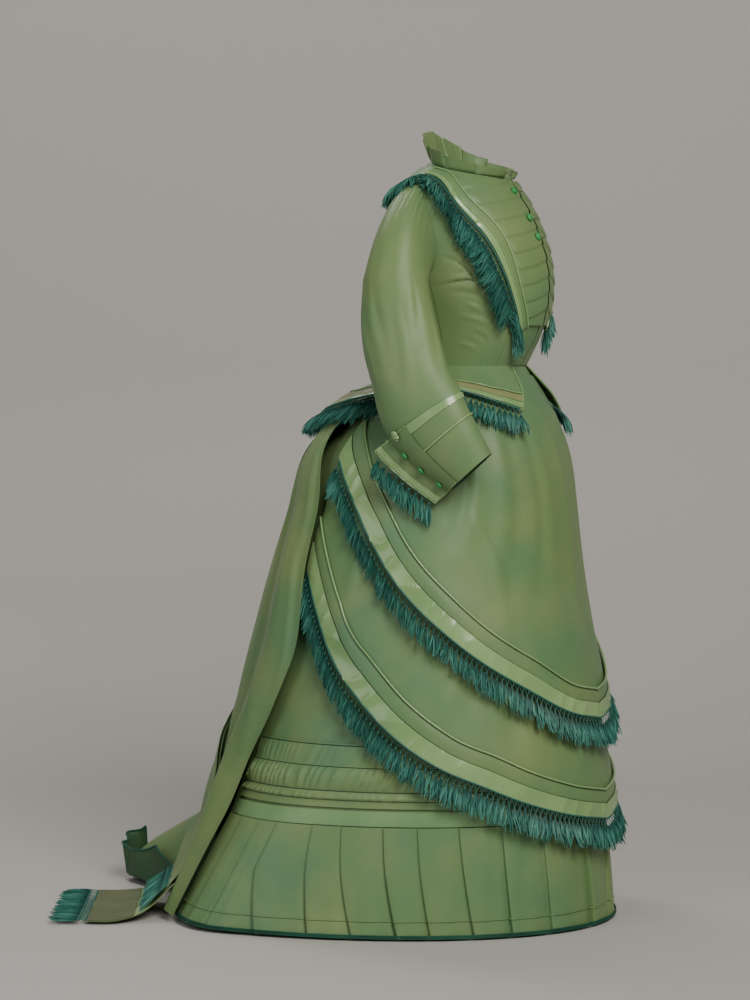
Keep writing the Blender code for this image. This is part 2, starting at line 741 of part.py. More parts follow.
def inside_of(outer, closed):
    """The same grid moved in along its normals by the cloth's thickness."""
    if closed:
        across = np.roll(outer, -1, 0) - np.roll(outer, 1, 0)
    else:
        across = np.gradient(outer, axis=0)
    normal = np.cross(np.gradient(outer, axis=1), across)
    normal /= np.linalg.norm(normal, axis=-1, keepdims=True)
    if closed and (normal * (outer - outer.mean(axis=0, keepdims=True))).sum() < 0:
        normal = -normal
    return outer - normal * CLOTH


def sleeve_wall(name, arm, mirror, degrees, out, lengths, kind="taffeta", from_armhole=False, closed=False):
    turns = np.radians(degrees)
    outer = sleeve_grid(arm, turns, out, lengths, from_armhole)
    inner = inside_of(outer, closed)
    outer[..., 0] *= mirror
    inner[..., 0] *= mirror
    return wall(name, outer, inner, kind, closed)


CUFF_ROWS = [0.735, 0.767, 0.844, 0.922, 1.0]  # from the sleeve's seam to the wrist
SLEEVE_LENGTHS = [0.29, 0.43, 0.57, 0.66, 0.733]
SLEEVE_HEAD = np.array([-0.020, 0.0, 0.020])  # how the sleeve's head swells at the shoulder


def make_sleeves():
    for side, (arm, mirror) in ARMS.items():
        upper = np.linspace(30, -210, 12)
        under = np.linspace(149.1, 30.9, 6)
        sleeve_wall("sleeve_upper_" + side, arm, mirror, upper, 0.0, SLEEVE_LENGTHS, from_armhole=True)
        sleeve_wall("sleeve_under_" + side, arm, mirror, under, 0.0, SLEEVE_LENGTHS, from_armhole=True)
        around = np.arange(0, 360, 24.0)
        sleeve_wall("cuff_" + side, arm, mirror, around, 0.0, CUFF_ROWS, closed=True)
        sleeve_wall(
            "cuff_satin_band_" + side,
            arm,
            mirror,
            around,
            LAYER,
            CUFF_ROWS[:2],
            kind="satin",
            closed=True,
        )
        make_lapel(side, arm, mirror)


LAPEL_TURNS = np.radians([-24.0, -48.0, -72.0])  # columns of the lapel that lie on the cuff
LAPEL_FLAP = (0.034, 0.017)  # columns that stand straight on past the cuff's back edge
LAPEL_OUT = 2 * LAYER


def make_lapel(side, arm, mirror):
    """A lapel that stands off the back of the cuff, with three buttons and fringe along its edge."""
    lengths = [CUFF_ROWS[0] + 0.002, *CUFF_ROWS[1:-1], CUFF_ROWS[-1] - 0.004]
    face = sleeve_rings(arm, LAPEL_TURNS, LAPEL_OUT, lengths)
    rim = np.radians([0.0])
    back = (sleeve_rings(arm, rim, 1.0, lengths) - sleeve_rings(arm, rim, 0.0, lengths))[0]
    back /= np.linalg.norm(back, axis=1, keepdims=True)
    outer = np.concatenate([[face[0] + back * reach for reach in LAPEL_FLAP], face])
    inner = inside_of(outer, False)
    locks = 12
    at = np.linspace(0, 1, 2 * locks)
    along = np.linspace(0, 1, len(lengths))
    edge = (outer[0] + inner[0]) / 2
    line = np.stack([np.interp(at, along, edge[:, k]) for k in range(3)], -1)
    line = line + np.stack([np.interp(at, along, back[:, k]) for k in range(3)], -1) * 0.0008
    away = np.cross(line[-1] - line[0], back[0])
    away *= np.sign(away[0] * -1.0) / np.linalg.norm(away)
    fall = np.array([0, 0, -1.0])
    drop = np.stack([np.interp(at, along, back[:, k]) for k in range(3)], -1) * 0.5 + fall
    drop /= np.linalg.norm(drop, axis=1, keepdims=True)
    high = line + drop * HEADING + away * 0.0025
    low = line + drop * HEADING - away * 0.0025
    root = np.stack([line, high, low], 1)
    middle = (high[0::2] + low[0::2] + high[1::2] + low[1::2]) / 4
    belly = middle + fall * 0.024 + away * 0.010
    tip = middle + fall * 0.040 + away * 0.016
    for points in (outer, inner, root, belly, tip):
        points[..., 0] *= mirror
    wall("cuff_lapel_" + side, outer, inner, "taffeta")
    fringe("cuff_fringe_" + side, root, belly, tip)
    for row in (1, 2, 3):
        cell = outer[2:4, row : row + 2].reshape(4, 3)
        off = np.cross(cell[3] - cell[0], cell[2] - cell[1])
        off *= np.sign(off[0] * -mirror)
        make_button(f"cuff_button_{side}_{row}", cell.mean(axis=0), off)


def make_button(name, seat, normal):
    """A covered button: a flattened ball whose underside clears its seat by the seam's gap."""
    half = 0.0032
    normal = Vector(normal).normalized()
    work = bmesh.new()
    bmesh.ops.create_uvsphere(work, u_segments=8, v_segments=4, radius=1.0)
    turn = Vector((0, 0, 1)).rotation_difference(normal).to_matrix().to_4x4()
    size = Matrix.Diagonal((BUTTON_RADIUS, BUTTON_RADIUS, half, 1.0))
    work.transform(Matrix.Translation(Vector(seat) + normal * (half + 0.0004)) @ turn @ size)
    mesh = bpy.data.meshes.new(name)
    work.to_mesh(mesh)
    work.free()
    mesh.shade_smooth()
    made = bpy.data.objects.new(name, mesh)
    made.data.materials.append(material("button"))
    bpy.context.scene.collection.objects.link(made)


# Sash tails

FloorRow = namedtuple("FloorRow", "x y z half")

TAIL_TURN = [  # where the tails leave the drapery and turn out along the floor
    FloorRow(-0.230, 0.506, -0.962, 0.092),
    FloorRow(-0.262, 0.550, -1.004, 0.112),
    FloorRow(-0.285, 0.588, -1.0125, 0.130),
    FloorRow(-0.307, 0.636, -1.0125, 0.130),
]
TAILS = {"long": (0, 4), "short": (1, 1)}  # layer, and how many rows of the turn it has
TAIL_HEIGHTS = [-0.034, -0.075, -0.12, -0.19, -0.32, -0.47, -0.62, -0.76, -0.88]
TAIL_LIFT = 0.0055  # the short tail above the long one
ALONG_FLOOR = np.array([-0.4226, 0.9063, 0.0])
ACROSS_FLOOR = np.array([-0.9063, -0.4226, 0.0])


def tail_rows(layer, turn_rows, out):
    share = np.linspace(0, 1, 5)
    rows = []
    for z in TAIL_HEIGHTS:
        centre = 182 - 23 * ramp(-z, 0.55, 0.88)
        half = 12 + 3 * ramp(-z, 0.05, 0.3)
        angle = centre + half - 2 * half * share[::-1]
        clear = drape_base(0.4, z) + flute_depth(z) + 0.003 + 0.007 * ramp(-z, 0.10, 0.25)
        lift = layer * TAIL_LIFT * (0.4 + 0.6 * ramp(-z, 0.03, 0.20))
        rows.append(drapery(angle, np.full(5, z), clear + lift + out))
    lift = np.array([ALONG_FLOOR * 0.7 + np.array([0, 0, 0.7])]) * (layer * TAIL_LIFT + out)
    for row in TAIL_TURN[:turn_rows]:
        centre = np.array([row.x, row.y, row.z])
        line = centre + ACROSS_FLOOR * row.half * (1 - 2 * share[:, None])
        line = line + (lift if row.z > -1.01 else np.array([0, 0, layer * TAIL_LIFT + out]))
        line[:, 2] += 0.010 * share**2
        rows.append(line)
    return np.array(rows)


def make_tails():
    for name, (layer, turn_rows) in TAILS.items():
        outer = tail_rows(layer, turn_rows, 0.0)
        inner = tail_rows(layer, turn_rows, -CLOTH)
        wall("sash_tail_" + name, outer, inner, "taffeta")
        locks = 9
        edge = outer[-1]
        onward = ALONG_FLOOR
        if turn_rows < len(TAIL_TURN):
            onward = np.array(TAIL_TURN[turn_rows][:3]) - np.array(TAIL_TURN[turn_rows - 1][:3])
            onward /= np.linalg.norm(onward)
        at = np.linspace(0, 1, 2 * locks)
        line = np.stack([np.interp(at, np.linspace(0, 1, 5), edge[:, k]) for k in range(3)], -1)
        line = line - np.array([0, 0, CLOTH / 2]) + onward * 0.0004
        high = line + onward * HEADING + np.array([0, 0, 0.0022])
        low = line + onward * HEADING - np.array([0, 0, 0.0022])
        root = np.stack([line, high, low], 1)
        middle = (high[0::2] + low[0::2] + high[1::2] + low[1::2]) / 4
        fringe("sash_fringe_" + name, root, middle + onward * 0.034, middle + onward * 0.060)


def main():
    for old in list(bpy.data.objects):
        bpy.data.objects.remove(old, do_unlink=True)
    make_underskirt()
    make_puff()
    make_skirt_band()
    make_flounce()
    make_apron("lower", LOWER_HEM, 120, lower_top, 5, 34)
    make_apron("upper", UPPER_HEM, 118, upper_top, 8, 34)
    make_drapery()
    make_bodice()
    make_plastron()
    make_collar()
    make_bretelles()
    make_peplum()
    make_sleeves()
    make_tails()


main()
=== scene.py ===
"""Looks of the Victorian bustle dress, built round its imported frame.

The scene's surfaces come from the same section tables as the solids, drawn finer and with the folds,
creases, piping and tassels that the solids leave out. Angles run round the body from 0 at centre
front, through 90 at the wearer's right, to 180 behind; the wearer's left has negative angles.
"""

from collections import namedtuple

import bpy
import numpy as np
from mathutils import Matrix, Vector


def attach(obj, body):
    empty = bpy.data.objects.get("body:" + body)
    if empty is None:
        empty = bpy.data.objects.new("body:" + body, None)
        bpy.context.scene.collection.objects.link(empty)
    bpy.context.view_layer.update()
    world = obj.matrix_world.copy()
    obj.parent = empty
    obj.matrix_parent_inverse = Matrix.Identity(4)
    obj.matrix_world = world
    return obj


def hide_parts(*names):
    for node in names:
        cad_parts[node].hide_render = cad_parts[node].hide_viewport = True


bl_info = {
    "name": "Victorian bustle dress",
    "version": (1, 0, 0),
    "blender": (4, 5, 0),
    "location": "3D View > Sidebar > Dress",
    "description": "Dresses the packed solids of a Victorian bustle dress in silk, satin and fringe",
    "category": "Object",
}

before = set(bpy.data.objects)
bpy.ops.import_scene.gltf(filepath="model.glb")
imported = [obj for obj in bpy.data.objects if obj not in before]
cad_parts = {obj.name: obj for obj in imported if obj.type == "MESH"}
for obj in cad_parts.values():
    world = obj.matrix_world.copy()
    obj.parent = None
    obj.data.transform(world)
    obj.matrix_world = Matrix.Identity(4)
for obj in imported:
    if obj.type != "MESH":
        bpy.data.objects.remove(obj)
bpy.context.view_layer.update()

CLOTH = 0.0010  # how thick the cloth is drawn
LAYER = 0.0020  # how far a second layer stands off its section table
ONLAY = 0.0025  # how far a panel laid over the skirt or the bodice stands off it
FLOOR = -1.020
HEM = FLOOR + 0.003

# Sections and edges, as in the solids

Section = namedtuple("Section", "z front mid half_width back")
TORSO = [
    Section(0.000, -0.102, 0.000, 0.122, 0.088),
    Section(0.060, -0.134, 0.004, 0.128, 0.092),
    Section(0.130, -0.152, 0.014, 0.143, 0.104),
    Section(0.200, -0.146, 0.030, 0.158, 0.114),
    Section(0.260, -0.124, 0.042, 0.166, 0.120),
    Section(0.310, -0.096, 0.046, 0.160, 0.118),
    Section(0.345, -0.073, 0.038, 0.120, 0.100),
    Section(0.372, -0.058, 0.028, 0.076, 0.074),
    Section(0.392, -0.048, 0.020, 0.054, 0.056),
]
SKIRT = [
    Section(0.00, -0.0994, 0.000, 0.1194, 0.0848),
    Section(-0.06, -0.134, 0.020, 0.160, 0.175),
    Section(-0.15, -0.163, 0.040, 0.212, 0.282),
    Section(-0.28, -0.180, 0.060, 0.247, 0.330),
    Section(-0.42, -0.193, 0.080, 0.272, 0.370),
    Section(-0.56, -0.211, 0.100, 0.290, 0.404),
    Section(-0.68, -0.228, 0.130, 0.308, 0.428),
    Section(-0.80, -0.243, 0.190, 0.333, 0.454),
    Section(-0.90, -0.253, 0.260, 0.356, 0.480),
    Section(-1.02, -0.258, 0.340, 0.380, 0.512),
]
PEPLUM = [
    Section(0.000, -0.102, 0.000, 0.122, 0.088),
    Section(-0.020, -0.120, 0.008, 0.142, 0.148),
    Section(-0.050, -0.147, 0.020, 0.172, 0.228),
    Section(-0.100, -0.171, 0.036, 0.208, 0.294),
    Section(-0.160, -0.190, 0.048, 0.236, 0.318),
]

Edge = namedtuple("Edge", "angle z")


def edge_table(*places):
    return [Edge(*place) for place in places]


UPPER_HEM = edge_table(
    (0, -0.650), (18, -0.628), (34, -0.580), (49, -0.528), (63, -0.468), (79, -0.392), (96, -0.296),
    (108, -0.224), (120, -0.164), (135, -0.100),
)
LOWER_HEM = edge_table(
    (0, -0.832), (20, -0.808), (34, -0.780), (46, -0.748), (58, -0.716), (72, -0.664), (86, -0.596),
    (100, -0.520), (109, -0.452), (115, -0.408), (126, -0.330),
)
DRAPE_EDGE = edge_table(
    (127, -0.020), (130, -0.120), (120, -0.236), (117, -0.372), (113, -0.520), (117, -0.620), (121, -0.720),
    (120, -0.820), (119, -1.020),
)
PEPLUM_HEM = edge_table(
    (0, -0.084), (28, -0.082), (45, -0.066), (66, -0.048), (90, -0.046), (120, -0.058), (150, -0.080),
    (180, -0.088),
)
BRETELLE_INNER = edge_table(
    (180, 0.364), (140, 0.363), (105, 0.360), (80, 0.355), (62, 0.340), (46, 0.290), (35, 0.236),
    (30, 0.140), (20, 0.072),
)
BRETELLE_OUTER = edge_table(
    (180, 0.332), (140, 0.334), (108, 0.342), (84, 0.344), (66, 0.322), (55, 0.274), (46, 0.226),
    (37, 0.130), (27, 0.064),
)
SHOULDER = 2.72  # the shoulder seam's place along the two tables above
NECK_BACK, NECK_FRONT = 0.390, 0.348

ArmRing = namedtuple("ArmRing", "x y z half_width half_thick")
BENT_ARM = [
    ArmRing(-0.186, 0.036, 0.248, 0.064, 0.068),
    ArmRing(-0.210, 0.050, 0.206, 0.068, 0.060),
    ArmRing(-0.224, 0.050, 0.155, 0.060, 0.053),
    ArmRing(-0.240, 0.036, 0.066, 0.071, 0.051),
    ArmRing(-0.258, 0.006, -0.018, 0.073, 0.047),
    ArmRing(-0.266, -0.024, -0.082, 0.080, 0.043),
    ArmRing(-0.260, -0.062, -0.134, 0.071, 0.039),
    ArmRing(-0.248, -0.108, -0.188, 0.053, 0.034),
]
HANGING_ARM = [
    ArmRing(-0.186, 0.036, 0.248, 0.064, 0.068),
    ArmRing(-0.210, 0.058, 0.206, 0.066, 0.060),
    ArmRing(-0.226, 0.068, 0.155, 0.062, 0.053),
    ArmRing(-0.244, 0.082, 0.066, 0.070, 0.050),
    ArmRing(-0.262, 0.078, -0.022, 0.070, 0.044),
    ArmRing(-0.274, 0.058, -0.092, 0.064, 0.040),
    ArmRing(-0.280, 0.032, -0.152, 0.056, 0.036),
    ArmRing(-0.284, 0.002, -0.214, 0.048, 0.032),
]
ARMS = {"R": (BENT_ARM, 1.0), "L": (HANGING_ARM, -1.0)}
SIDES = {"R": 1.0, "L": -1.0}
ARMHOLE_TOP, ARMHOLE_BOTTOM = 0.332, 0.168
ARMHOLE_FRONT, ARMHOLE_BACK = 11.0, 40.0


def smooth_read(xs, values, x):
    """Cubic Hermite through the values, with slopes from their neighbours and none past the ends."""
    xs = np.asarray(xs, float)
    values = np.asarray(values, float)
    if xs[0] > xs[-1]:
        xs, values = xs[::-1], values[::-1]
    slopes = np.gradient(values, xs)
    x = np.clip(x, xs[0], xs[-1])
    i = np.clip(np.searchsorted(xs, x) - 1, 0, len(xs) - 2)
    width = xs[i + 1] - xs[i]
    s = (x - xs[i]) / width
    start = (2 * s**3 - 3 * s**2 + 1) * values[i] + (s**3 - 2 * s**2 + s) * width * slopes[i]
    end = (3 * s**2 - 2 * s**3) * values[i + 1] + (s**3 - s**2) * width * slopes[i + 1]
    return start + end


def column(table, name):
    return [getattr(row, name) for row in table]


def edge_height(edge, angle):
    return smooth_read(column(edge, "angle"), column(edge, "z"), np.abs(angle))


def edge_angle(edge, z):
    return smooth_read(column(edge, "z"), column(edge, "angle"), z)


def on_section(table, angle, z):
    """The point of a section table at an angle and a height."""
    turn = np.radians(angle)
    at = {name: smooth_read(column(table, "z"), column(table, name), z) for name in Section._fields[1:]}
    forward = np.cos(turn)
    reach = np.where(forward > 0, at["mid"] - at["front"], at["back"] - at["mid"])
    return np.stack([-at["half_width"] * np.sin(turn), at["mid"] - reach * forward, z], -1)


def surface(table, angle, z, out=0.0):
    """Points of the section table's surface, moved out along its normal."""
    angle, z, out = np.broadcast_arrays(*(np.asarray(value, float) for value in (angle, z, out)))
    step, rise = 0.5, 0.002
    round_it = on_section(table, angle + step, z) - on_section(table, angle - step, z)
    low = min(column(table, "z")) + rise
    high = max(column(table, "z")) - rise
    level = np.clip(z, low, high)
    up_it = on_section(table, angle, level + rise) - on_section(table, angle, level - rise)
    normal = np.cross(up_it, round_it)
    normal /= np.linalg.norm(normal, axis=-1, keepdims=True)
    return on_section(table, angle, z) + normal * out[..., None]


def ramp(x, start, end):
    """0 before start, 1 after end, smooth between."""
    s = np.clip((np.asarray(x, float) - start) / (end - start), 0, 1)
    return s * s * (3 - 2 * s)


def bump(x, middle, width):
    """1 at the middle, falling off smoothly to either side."""
    return np.exp(-(((np.asarray(x, float) - middle) / width) ** 2))


def mesh_grid(across, down):
    return np.meshgrid(np.asarray(across, float), np.asarray(down, float), indexing="ij")


def run_along(line):
    """Distance along a line from its start to each of its points."""
    return np.concatenate([[0], np.cumsum(np.linalg.norm(np.diff(line, axis=0), axis=1))])


# Folds

# A crease runs from one place on the cloth to a second one, and a depth below 0 makes it a trough
Crease = namedtuple("Crease", "angle z angle2 z2 width depth")


def creased(table, angle, z, reach):
    """Height of the ridges and troughs of a table of creases; reach is the body's radius in metres."""
    angle, z = np.broadcast_arrays(np.asarray(angle, float), np.asarray(z, float))
    x = np.radians(angle) * reach
    total = np.zeros_like(x)
    for line in table:
        start = np.array([np.radians(line.angle) * reach, line.z])
        run = np.array([np.radians(line.angle2) * reach, line.z2]) - start
        length = np.hypot(*run)
        along = ((x - start[0]) * run[0] + (z - start[1]) * run[1]) / length**2
        bow = 0.10 * length * np.sin(np.pi * np.clip(along, 0, 1)) * (1 if line.z2 < line.z else -1)
        off = ((x - start[0]) * run[1] - (z - start[1]) * run[0]) / length - bow
        taper = ramp(along, -0.08, 0.30) * (1 - ramp(along, 0.55, 1.08))
        width = line.width * (0.75 + 0.5 * np.clip(along, 0, 1))
        profile = np.exp(-((off / width) ** 2)) - 0.45 * np.exp(-(((off - 1.7 * width) / width) ** 2))
        total += line.depth * profile * taper
    return total


def crumple(points, size, depth, seed, tall=1.0):
    """Crisp little folds of taffeta: ridges of a few bent waves, the same on every run."""
    random = np.random.default_rng(seed)
    q = points / np.array([size, size, size * tall])
    bend = sum(np.sin(q @ random.normal(size=3) * 0.9 + random.uniform(0, 6.3)) for _ in range(4))
    total = 0
    for step in range(5):
        way = random.normal(size=3)
        way /= np.linalg.norm(way)
        phase = q @ way * (1.4 + 0.6 * step) + 1.1 * bend + random.uniform(0, 6.3)
        total = total + 1 - 2 * np.abs(np.sin(phase))
    return depth * total / 5


# Meshes


class Shape:
    """Collects grids and tubes into one mesh, with a UV in metres for the weave."""

    def __init__(self):
        self.points, self.faces, self.uvs, self.kinds, self.count = [], [], [], [], 0

    def quads(self, points, faces, uv):
        self.points.append(points.reshape(-1, 3))
        self.faces.append(faces + self.count)
        self.uvs.append(uv.reshape(-1, 2))
        self.kinds.append(np.zeros(len(faces), int))
        self.count += points.size // 3

    @staticmethod
    def faces_of(columns, rows, closed):
        """Faces of a grid whose columns of points follow one another."""
        last = columns if closed else columns - 1
        i, k = np.meshgrid(np.arange(last), np.arange(rows - 1), indexing="ij")
        j = (i + 1) % columns
        return np.stack([i * rows + k, j * rows + k, j * rows + k + 1, i * rows + k + 1], -1).reshape(-1, 4)

    def grid(self, points, closed=False):
        self.quads(points, self.faces_of(*points.shape[:2], closed), self.metres(points))

    def wall(self, outer, inner, closed=False, lining=0):
        """A closed shell between two grids, welded along its rims."""
        columns, rows = outer.shape[:2]
        face = self.faces_of(columns, rows, closed)
        under = columns * rows

        def rim(start, end, flip):
            strip = np.stack([start, start + under, end + under, end], -1)
            return strip[:, ::-1] if flip else strip

        i = np.arange(columns if closed else columns - 1)
        j = (i + 1) % columns
        rims = [rim(i * rows + k, j * rows + k, k > 0) for k in (0, rows - 1)]
        if not closed:
            k = np.arange(rows - 1)
            rims += [rim(i * rows + k, i * rows + k + 1, i == 0) for i in (0, columns - 1)]
        uv = self.metres(outer)
        self.quads(
            np.concatenate([outer.reshape(-1, 3), inner.reshape(-1, 3)]),
            np.concatenate([face, face[:, ::-1] + under, *rims]),
            np.concatenate([uv.reshape(-1, 2)] * 2),
        )
        self.kinds[-1][len(face) : 2 * len(face)] = lining

    @staticmethod
    def metres(points):
        """UV of a grid, in metres along its middle lines."""
        columns, rows = points.shape[:2]
        lines = (points[:, rows // 2], points[columns // 2])
        return np.stack(np.meshgrid(*(run_along(line) for line in lines), indexing="ij"), -1)

    def tube(self, line, radius, sides=6, closed=False):
        """A round cord along a line."""
        ahead = np.roll(line, -1, 0) - np.roll(line, 1, 0)
        if not closed:
            ahead[0], ahead[-1] = line[1] - line[0], line[-1] - line[-2]
        ahead /= np.linalg.norm(ahead, axis=1, keepdims=True) + 1e-12
        side = np.cross(ahead, np.array([0.31, 0.17, 0.93]))
        side /= np.linalg.norm(side, axis=1, keepdims=True) + 1e-12
        over = np.cross(ahead, side)
        turn = np.arange(sides) * 2 * np.pi / sides
        radius = np.broadcast_to(radius, (len(line),))[:, None, None]
        ring = line[:, None] + radius * (
            side[:, None] * np.cos(turn)[None, :, None] + over[:, None] * np.sin(turn)[None, :, None]
        )
        if not closed:
            caps = [line[k, None, None] * 0.95 + ring[k, None] * 0.05 for k in (0, -1)]
            ring = np.concatenate([caps[0], ring, caps[1]])
        self.grid(ring.transpose(1, 0, 2), closed=True)

    def make(self, name, materials):
        points = np.concatenate(self.points)
        faces = np.concatenate(self.faces).astype(np.int32)
        mesh = bpy.data.meshes.new(name)
        mesh.vertices.add(len(points))
        mesh.vertices.foreach_set("co", points.astype(np.float32).ravel())
        mesh.loops.add(faces.size)
        mesh.loops.foreach_set("vertex_index", faces.ravel())
        mesh.polygons.add(len(faces))
        mesh.polygons.foreach_set("loop_start", np.arange(0, faces.size, 4, dtype=np.int32))
        mesh.polygons.foreach_set("material_index", np.concatenate(self.kinds).astype(np.int32))
        mesh.update(calc_edges=True)
        layer = mesh.uv_layers.new(name="UVMap")
        layer.data.foreach_set("uv", np.concatenate(self.uvs)[faces.ravel()].astype(np.float32).ravel())
        mesh.validate()
        mesh.shade_smooth()
        mesh.set_sharp_from_angle(angle=1.1)
        for kind in materials:
            mesh.materials.append(finish(kind))
        made = bpy.data.objects.new(name, mesh)
        bpy.context.scene.collection.objects.link(made)
        return made


def grid_area(points):
    """Area of a grid, from the diagonals of its faces."""
    a = points[1:, 1:] - points[:-1, :-1]
    b = points[1:, :-1] - points[:-1, 1:]
    return float(np.linalg.norm(np.cross(a, b), axis=-1).sum() / 2)


def cut_of(points):
    """Width, length and area of the flat cloth that a grid is bent from."""
    across = np.linalg.norm(np.diff(points, axis=0), axis=-1).sum(0).max()
    down = np.linalg.norm(np.diff(points, axis=1), axis=-1).sum(1).max()
    area = grid_area(points)
    return (float(across), float(down)), min(area, 0.999 * float(across * down))


def place(piece, slot, nodes=()):
    """Let a piece ride on the dress, in place of the nodes that it stands for."""
    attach(piece, "root")
    if nodes:
        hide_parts(*nodes)
    return piece


def sheet(name, outer, inner, slot, kinds, nodes, held, rests_on, closed=False, lining=0):
    """A shell of cloth between two grids; the flat size that it was cut to is worked out but not used."""
    shape = Shape()
    shape.wall(outer, inner, closed, lining)
    piece = place(shape.make(name + "_cloth", kinds), slot, nodes)
    flat, area = cut_of(np.concatenate([outer, outer[:1]]) if closed else outer)
    list(rests_on)


def cloth(name, at, across, down, slot="taffeta", kinds=None, nodes=None, closed=False, held="draped",
          rests_on=(), lining=0):
    """One panel of cloth on the surface at(across, down, out), in place of the node of its name."""
    a, b = mesh_grid(across, down)
    nodes = (name,) if nodes is None else nodes
    sheet(name, at(a, b, 0.0), at(a, b, -CLOTH), slot, kinds or [slot], nodes, held, rests_on, closed, lining)


def lined(name, at, across, down, **more):
    """A panel of taffeta with its cotton lining on the inside."""
    cloth(name, at, across, down, kinds=["taffeta", "lining"], lining=1, **more)


def piping(name, lines, radius, slot="satin", kind=None, nodes=(), sides=6, closed=False):
    """Rolled piping, braid or stitching along one or more lines."""
    shape = Shape()
    for line in lines:
        shape.tube(line, radius, sides, closed)
    place(shape.make(name, [kind or slot]), slot, nodes)


def stitching(name, lines, radius):
    """Dark thread along the lines of a seam."""
    piping(name, lines, radius, slot="taffeta", kind="thread", sides=4)


# Tassel fringe


HEADING_CORD = 0.0019
NET_THREAD = 0.00055
TASSEL_NECK = 0.0022
TASSEL_SPREAD = 0.0056
TASSEL_SWAY = 0.0042
STRAND_RADII = np.array([0.0007, 0.0013, 0.0015, 0.0013, 0.0005])
HEADING_UV = (0.45, 0.35)  # a place in the fringe's material near its base colour, with a little painted shade


def fringe(name, top, hang, along, node, length, heading, seed, strands=13, spread_by=1.0, flat=1.0):
    """Knotted fringe: a woven heading, threads crossed into a net, and a floss tassel on every knot.

    top holds the heading's points, hang(share) gives the points below them at that share of the
    length, and along the direction of the edge at each point."""
    random = np.random.default_rng(seed)
    count = len(top)
    shape = Shape()
    shape.tube(top, HEADING_CORD, 5)
    shape.uvs[-1][:] = HEADING_UV
    away = np.cross(along, hang(1.0) - top)
    away /= np.linalg.norm(away, axis=1, keepdims=True)
    knot = hang(heading / length)
    # net: every knot takes a thread from either side
    for step in (-1, 1):
        start = top + along * step * 0.5 * np.linalg.norm(np.gradient(top, axis=0), axis=1)[:, None]
        path = np.stack([start, (start + knot) / 2 + away * 0.0008, knot], 1)
        shape_threads(shape, path, along, away, np.full(3, NET_THREAD))
    # necks
    ring = np.stack([hang((heading + s) / length) for s in (-0.0016, 0.0, 0.0016, 0.0034)], 1)
    shape_threads(shape, ring, along, away, np.array([0.0006, TASSEL_NECK, TASSEL_NECK, 0.0012]), sides=5)
    # tassels
    places = np.linspace(0, 1, 5)
    sway = random.normal(0, TASSEL_SWAY, (count, 1, 2))
    bundle = random.uniform(0, 2 * np.pi, (count, strands))
    radius = TASSEL_SPREAD * spread_by * np.sqrt(random.uniform(0.05, 1, (count, strands)))
    trim = random.uniform(0.76, 1.06, (count, strands)) * random.uniform(0.92, 1.05, (count, 1))
    path = np.zeros((count, strands, 5, 3))
    for i, s in enumerate(places):
        centre = hang(heading / length + (1 - heading / length) * s)[:, None] * np.ones((1, strands, 1))
        centre = knot[:, None] + (centre - knot[:, None]) * trim[..., None]
        swell = (0.22 + 0.78 * np.sin(0.5 * np.pi * min(1.0, 1.6 * s)) + 0.25 * s) * radius
        centre = centre + along[:, None] * (np.cos(bundle) * swell * 1.25 + sway[..., 0] * s * s)[..., None]
        centre = centre + away[:, None] * (flat * (np.sin(bundle) * swell + sway[..., 1] * s * s))[..., None]
        curl = 0.0016 * np.sin(6 * s + bundle * 3)
        path[:, :, i] = centre + along[:, None] * curl[..., None]
    # each thread's share of the painted lit tint, at random
    tint = random.uniform(0, 1, (count, strands)).reshape(-1)
    shape_threads(shape, path.reshape(-1, 5, 3), np.repeat(along, strands, 0), np.repeat(away, strands, 0),
                  STRAND_RADII, tint=tint)
    place(shape.make(name, ["fringe"]), "fringe", (node,))


def shape_threads(shape, paths, along, away, radii, sides=3, tint=None):
    """Many short threads at once: paths is (threads, points, 3)."""
    count, rows = paths.shape[:2]
    turn = np.arange(sides) * 2 * np.pi / sides
    spoke = along[:, None, None] * np.cos(turn)[None, None, :, None]
    spoke = spoke + away[:, None, None] * np.sin(turn)[None, None, :, None]
    ring = paths[:, :, None] + spoke * np.asarray(radii)[None, :, None, None]
    i, k, n = np.meshgrid(np.arange(count), np.arange(rows - 1), np.arange(sides), indexing="ij")
    m = (n + 1) % sides
    at = (i * rows + k) * sides
    faces = np.stack([at + n, at + m, at + sides + m, at + sides + n], -1).reshape(-1, 4)
    tint = np.full(count, 0.5) if tint is None else tint
    # UV x is a thread's share of the painted lit tint; UV y runs from its root to its tip, and the root end
    # takes painted shade
    uv = np.zeros((count, rows, sides, 2))
    uv[..., 0] = tint[:, None, None]
    uv[..., 1] = np.linspace(0, 1, rows)[None, :, None]
    shape.quads(ring, faces, uv)


def even(line_at, start, end, pitch):
    """Places from start to end that lie one pitch apart along a line."""
    fine = np.linspace(start, end, 600)
    run = run_along(line_at(fine))
    count = max(4, int(run[-1] / pitch))
    return np.interp((np.arange(count) + 0.5) / count * run[-1], run, fine)


def direction(line):
    way = np.gradient(line, axis=0)
    return way / (np.linalg.norm(way, axis=1, keepdims=True) + 1e-12)


def body_fringe(name, node, body, angle, z, out, drop, flare, seed, heading=0.013, over_sleeve=0.0, fan=0.0,
                **more):
    """Fringe that hangs from a line on the body, clear of the surface below it or over the sleeve's head."""
    top = body(angle, z, out)
    away = top - body(angle, z, 0.0)
    away[:, 2] = 0
    away /= np.linalg.norm(away, axis=1, keepdims=True)
    side = np.abs(angle)
    side = np.where(side > 180, 360 - side, side)
    weight = (over_sleeve * bump(side, 88, 20))[:, None]

    def hang(share):
        end = body(angle + share * fan, z - share * drop, out + share * flare)
        inside = np.hypot(end[:, 0], end[:, 1]) < np.hypot(top[:, 0], top[:, 1])
        end[inside, :2] = top[inside, :2]
        resting = top + share * (away * 0.044 - np.array([0, 0, 0.022]))
        return end * (1 - weight) + resting * weight

    fringe(name, top, hang, direction(top), node, drop, heading, seed, **more)
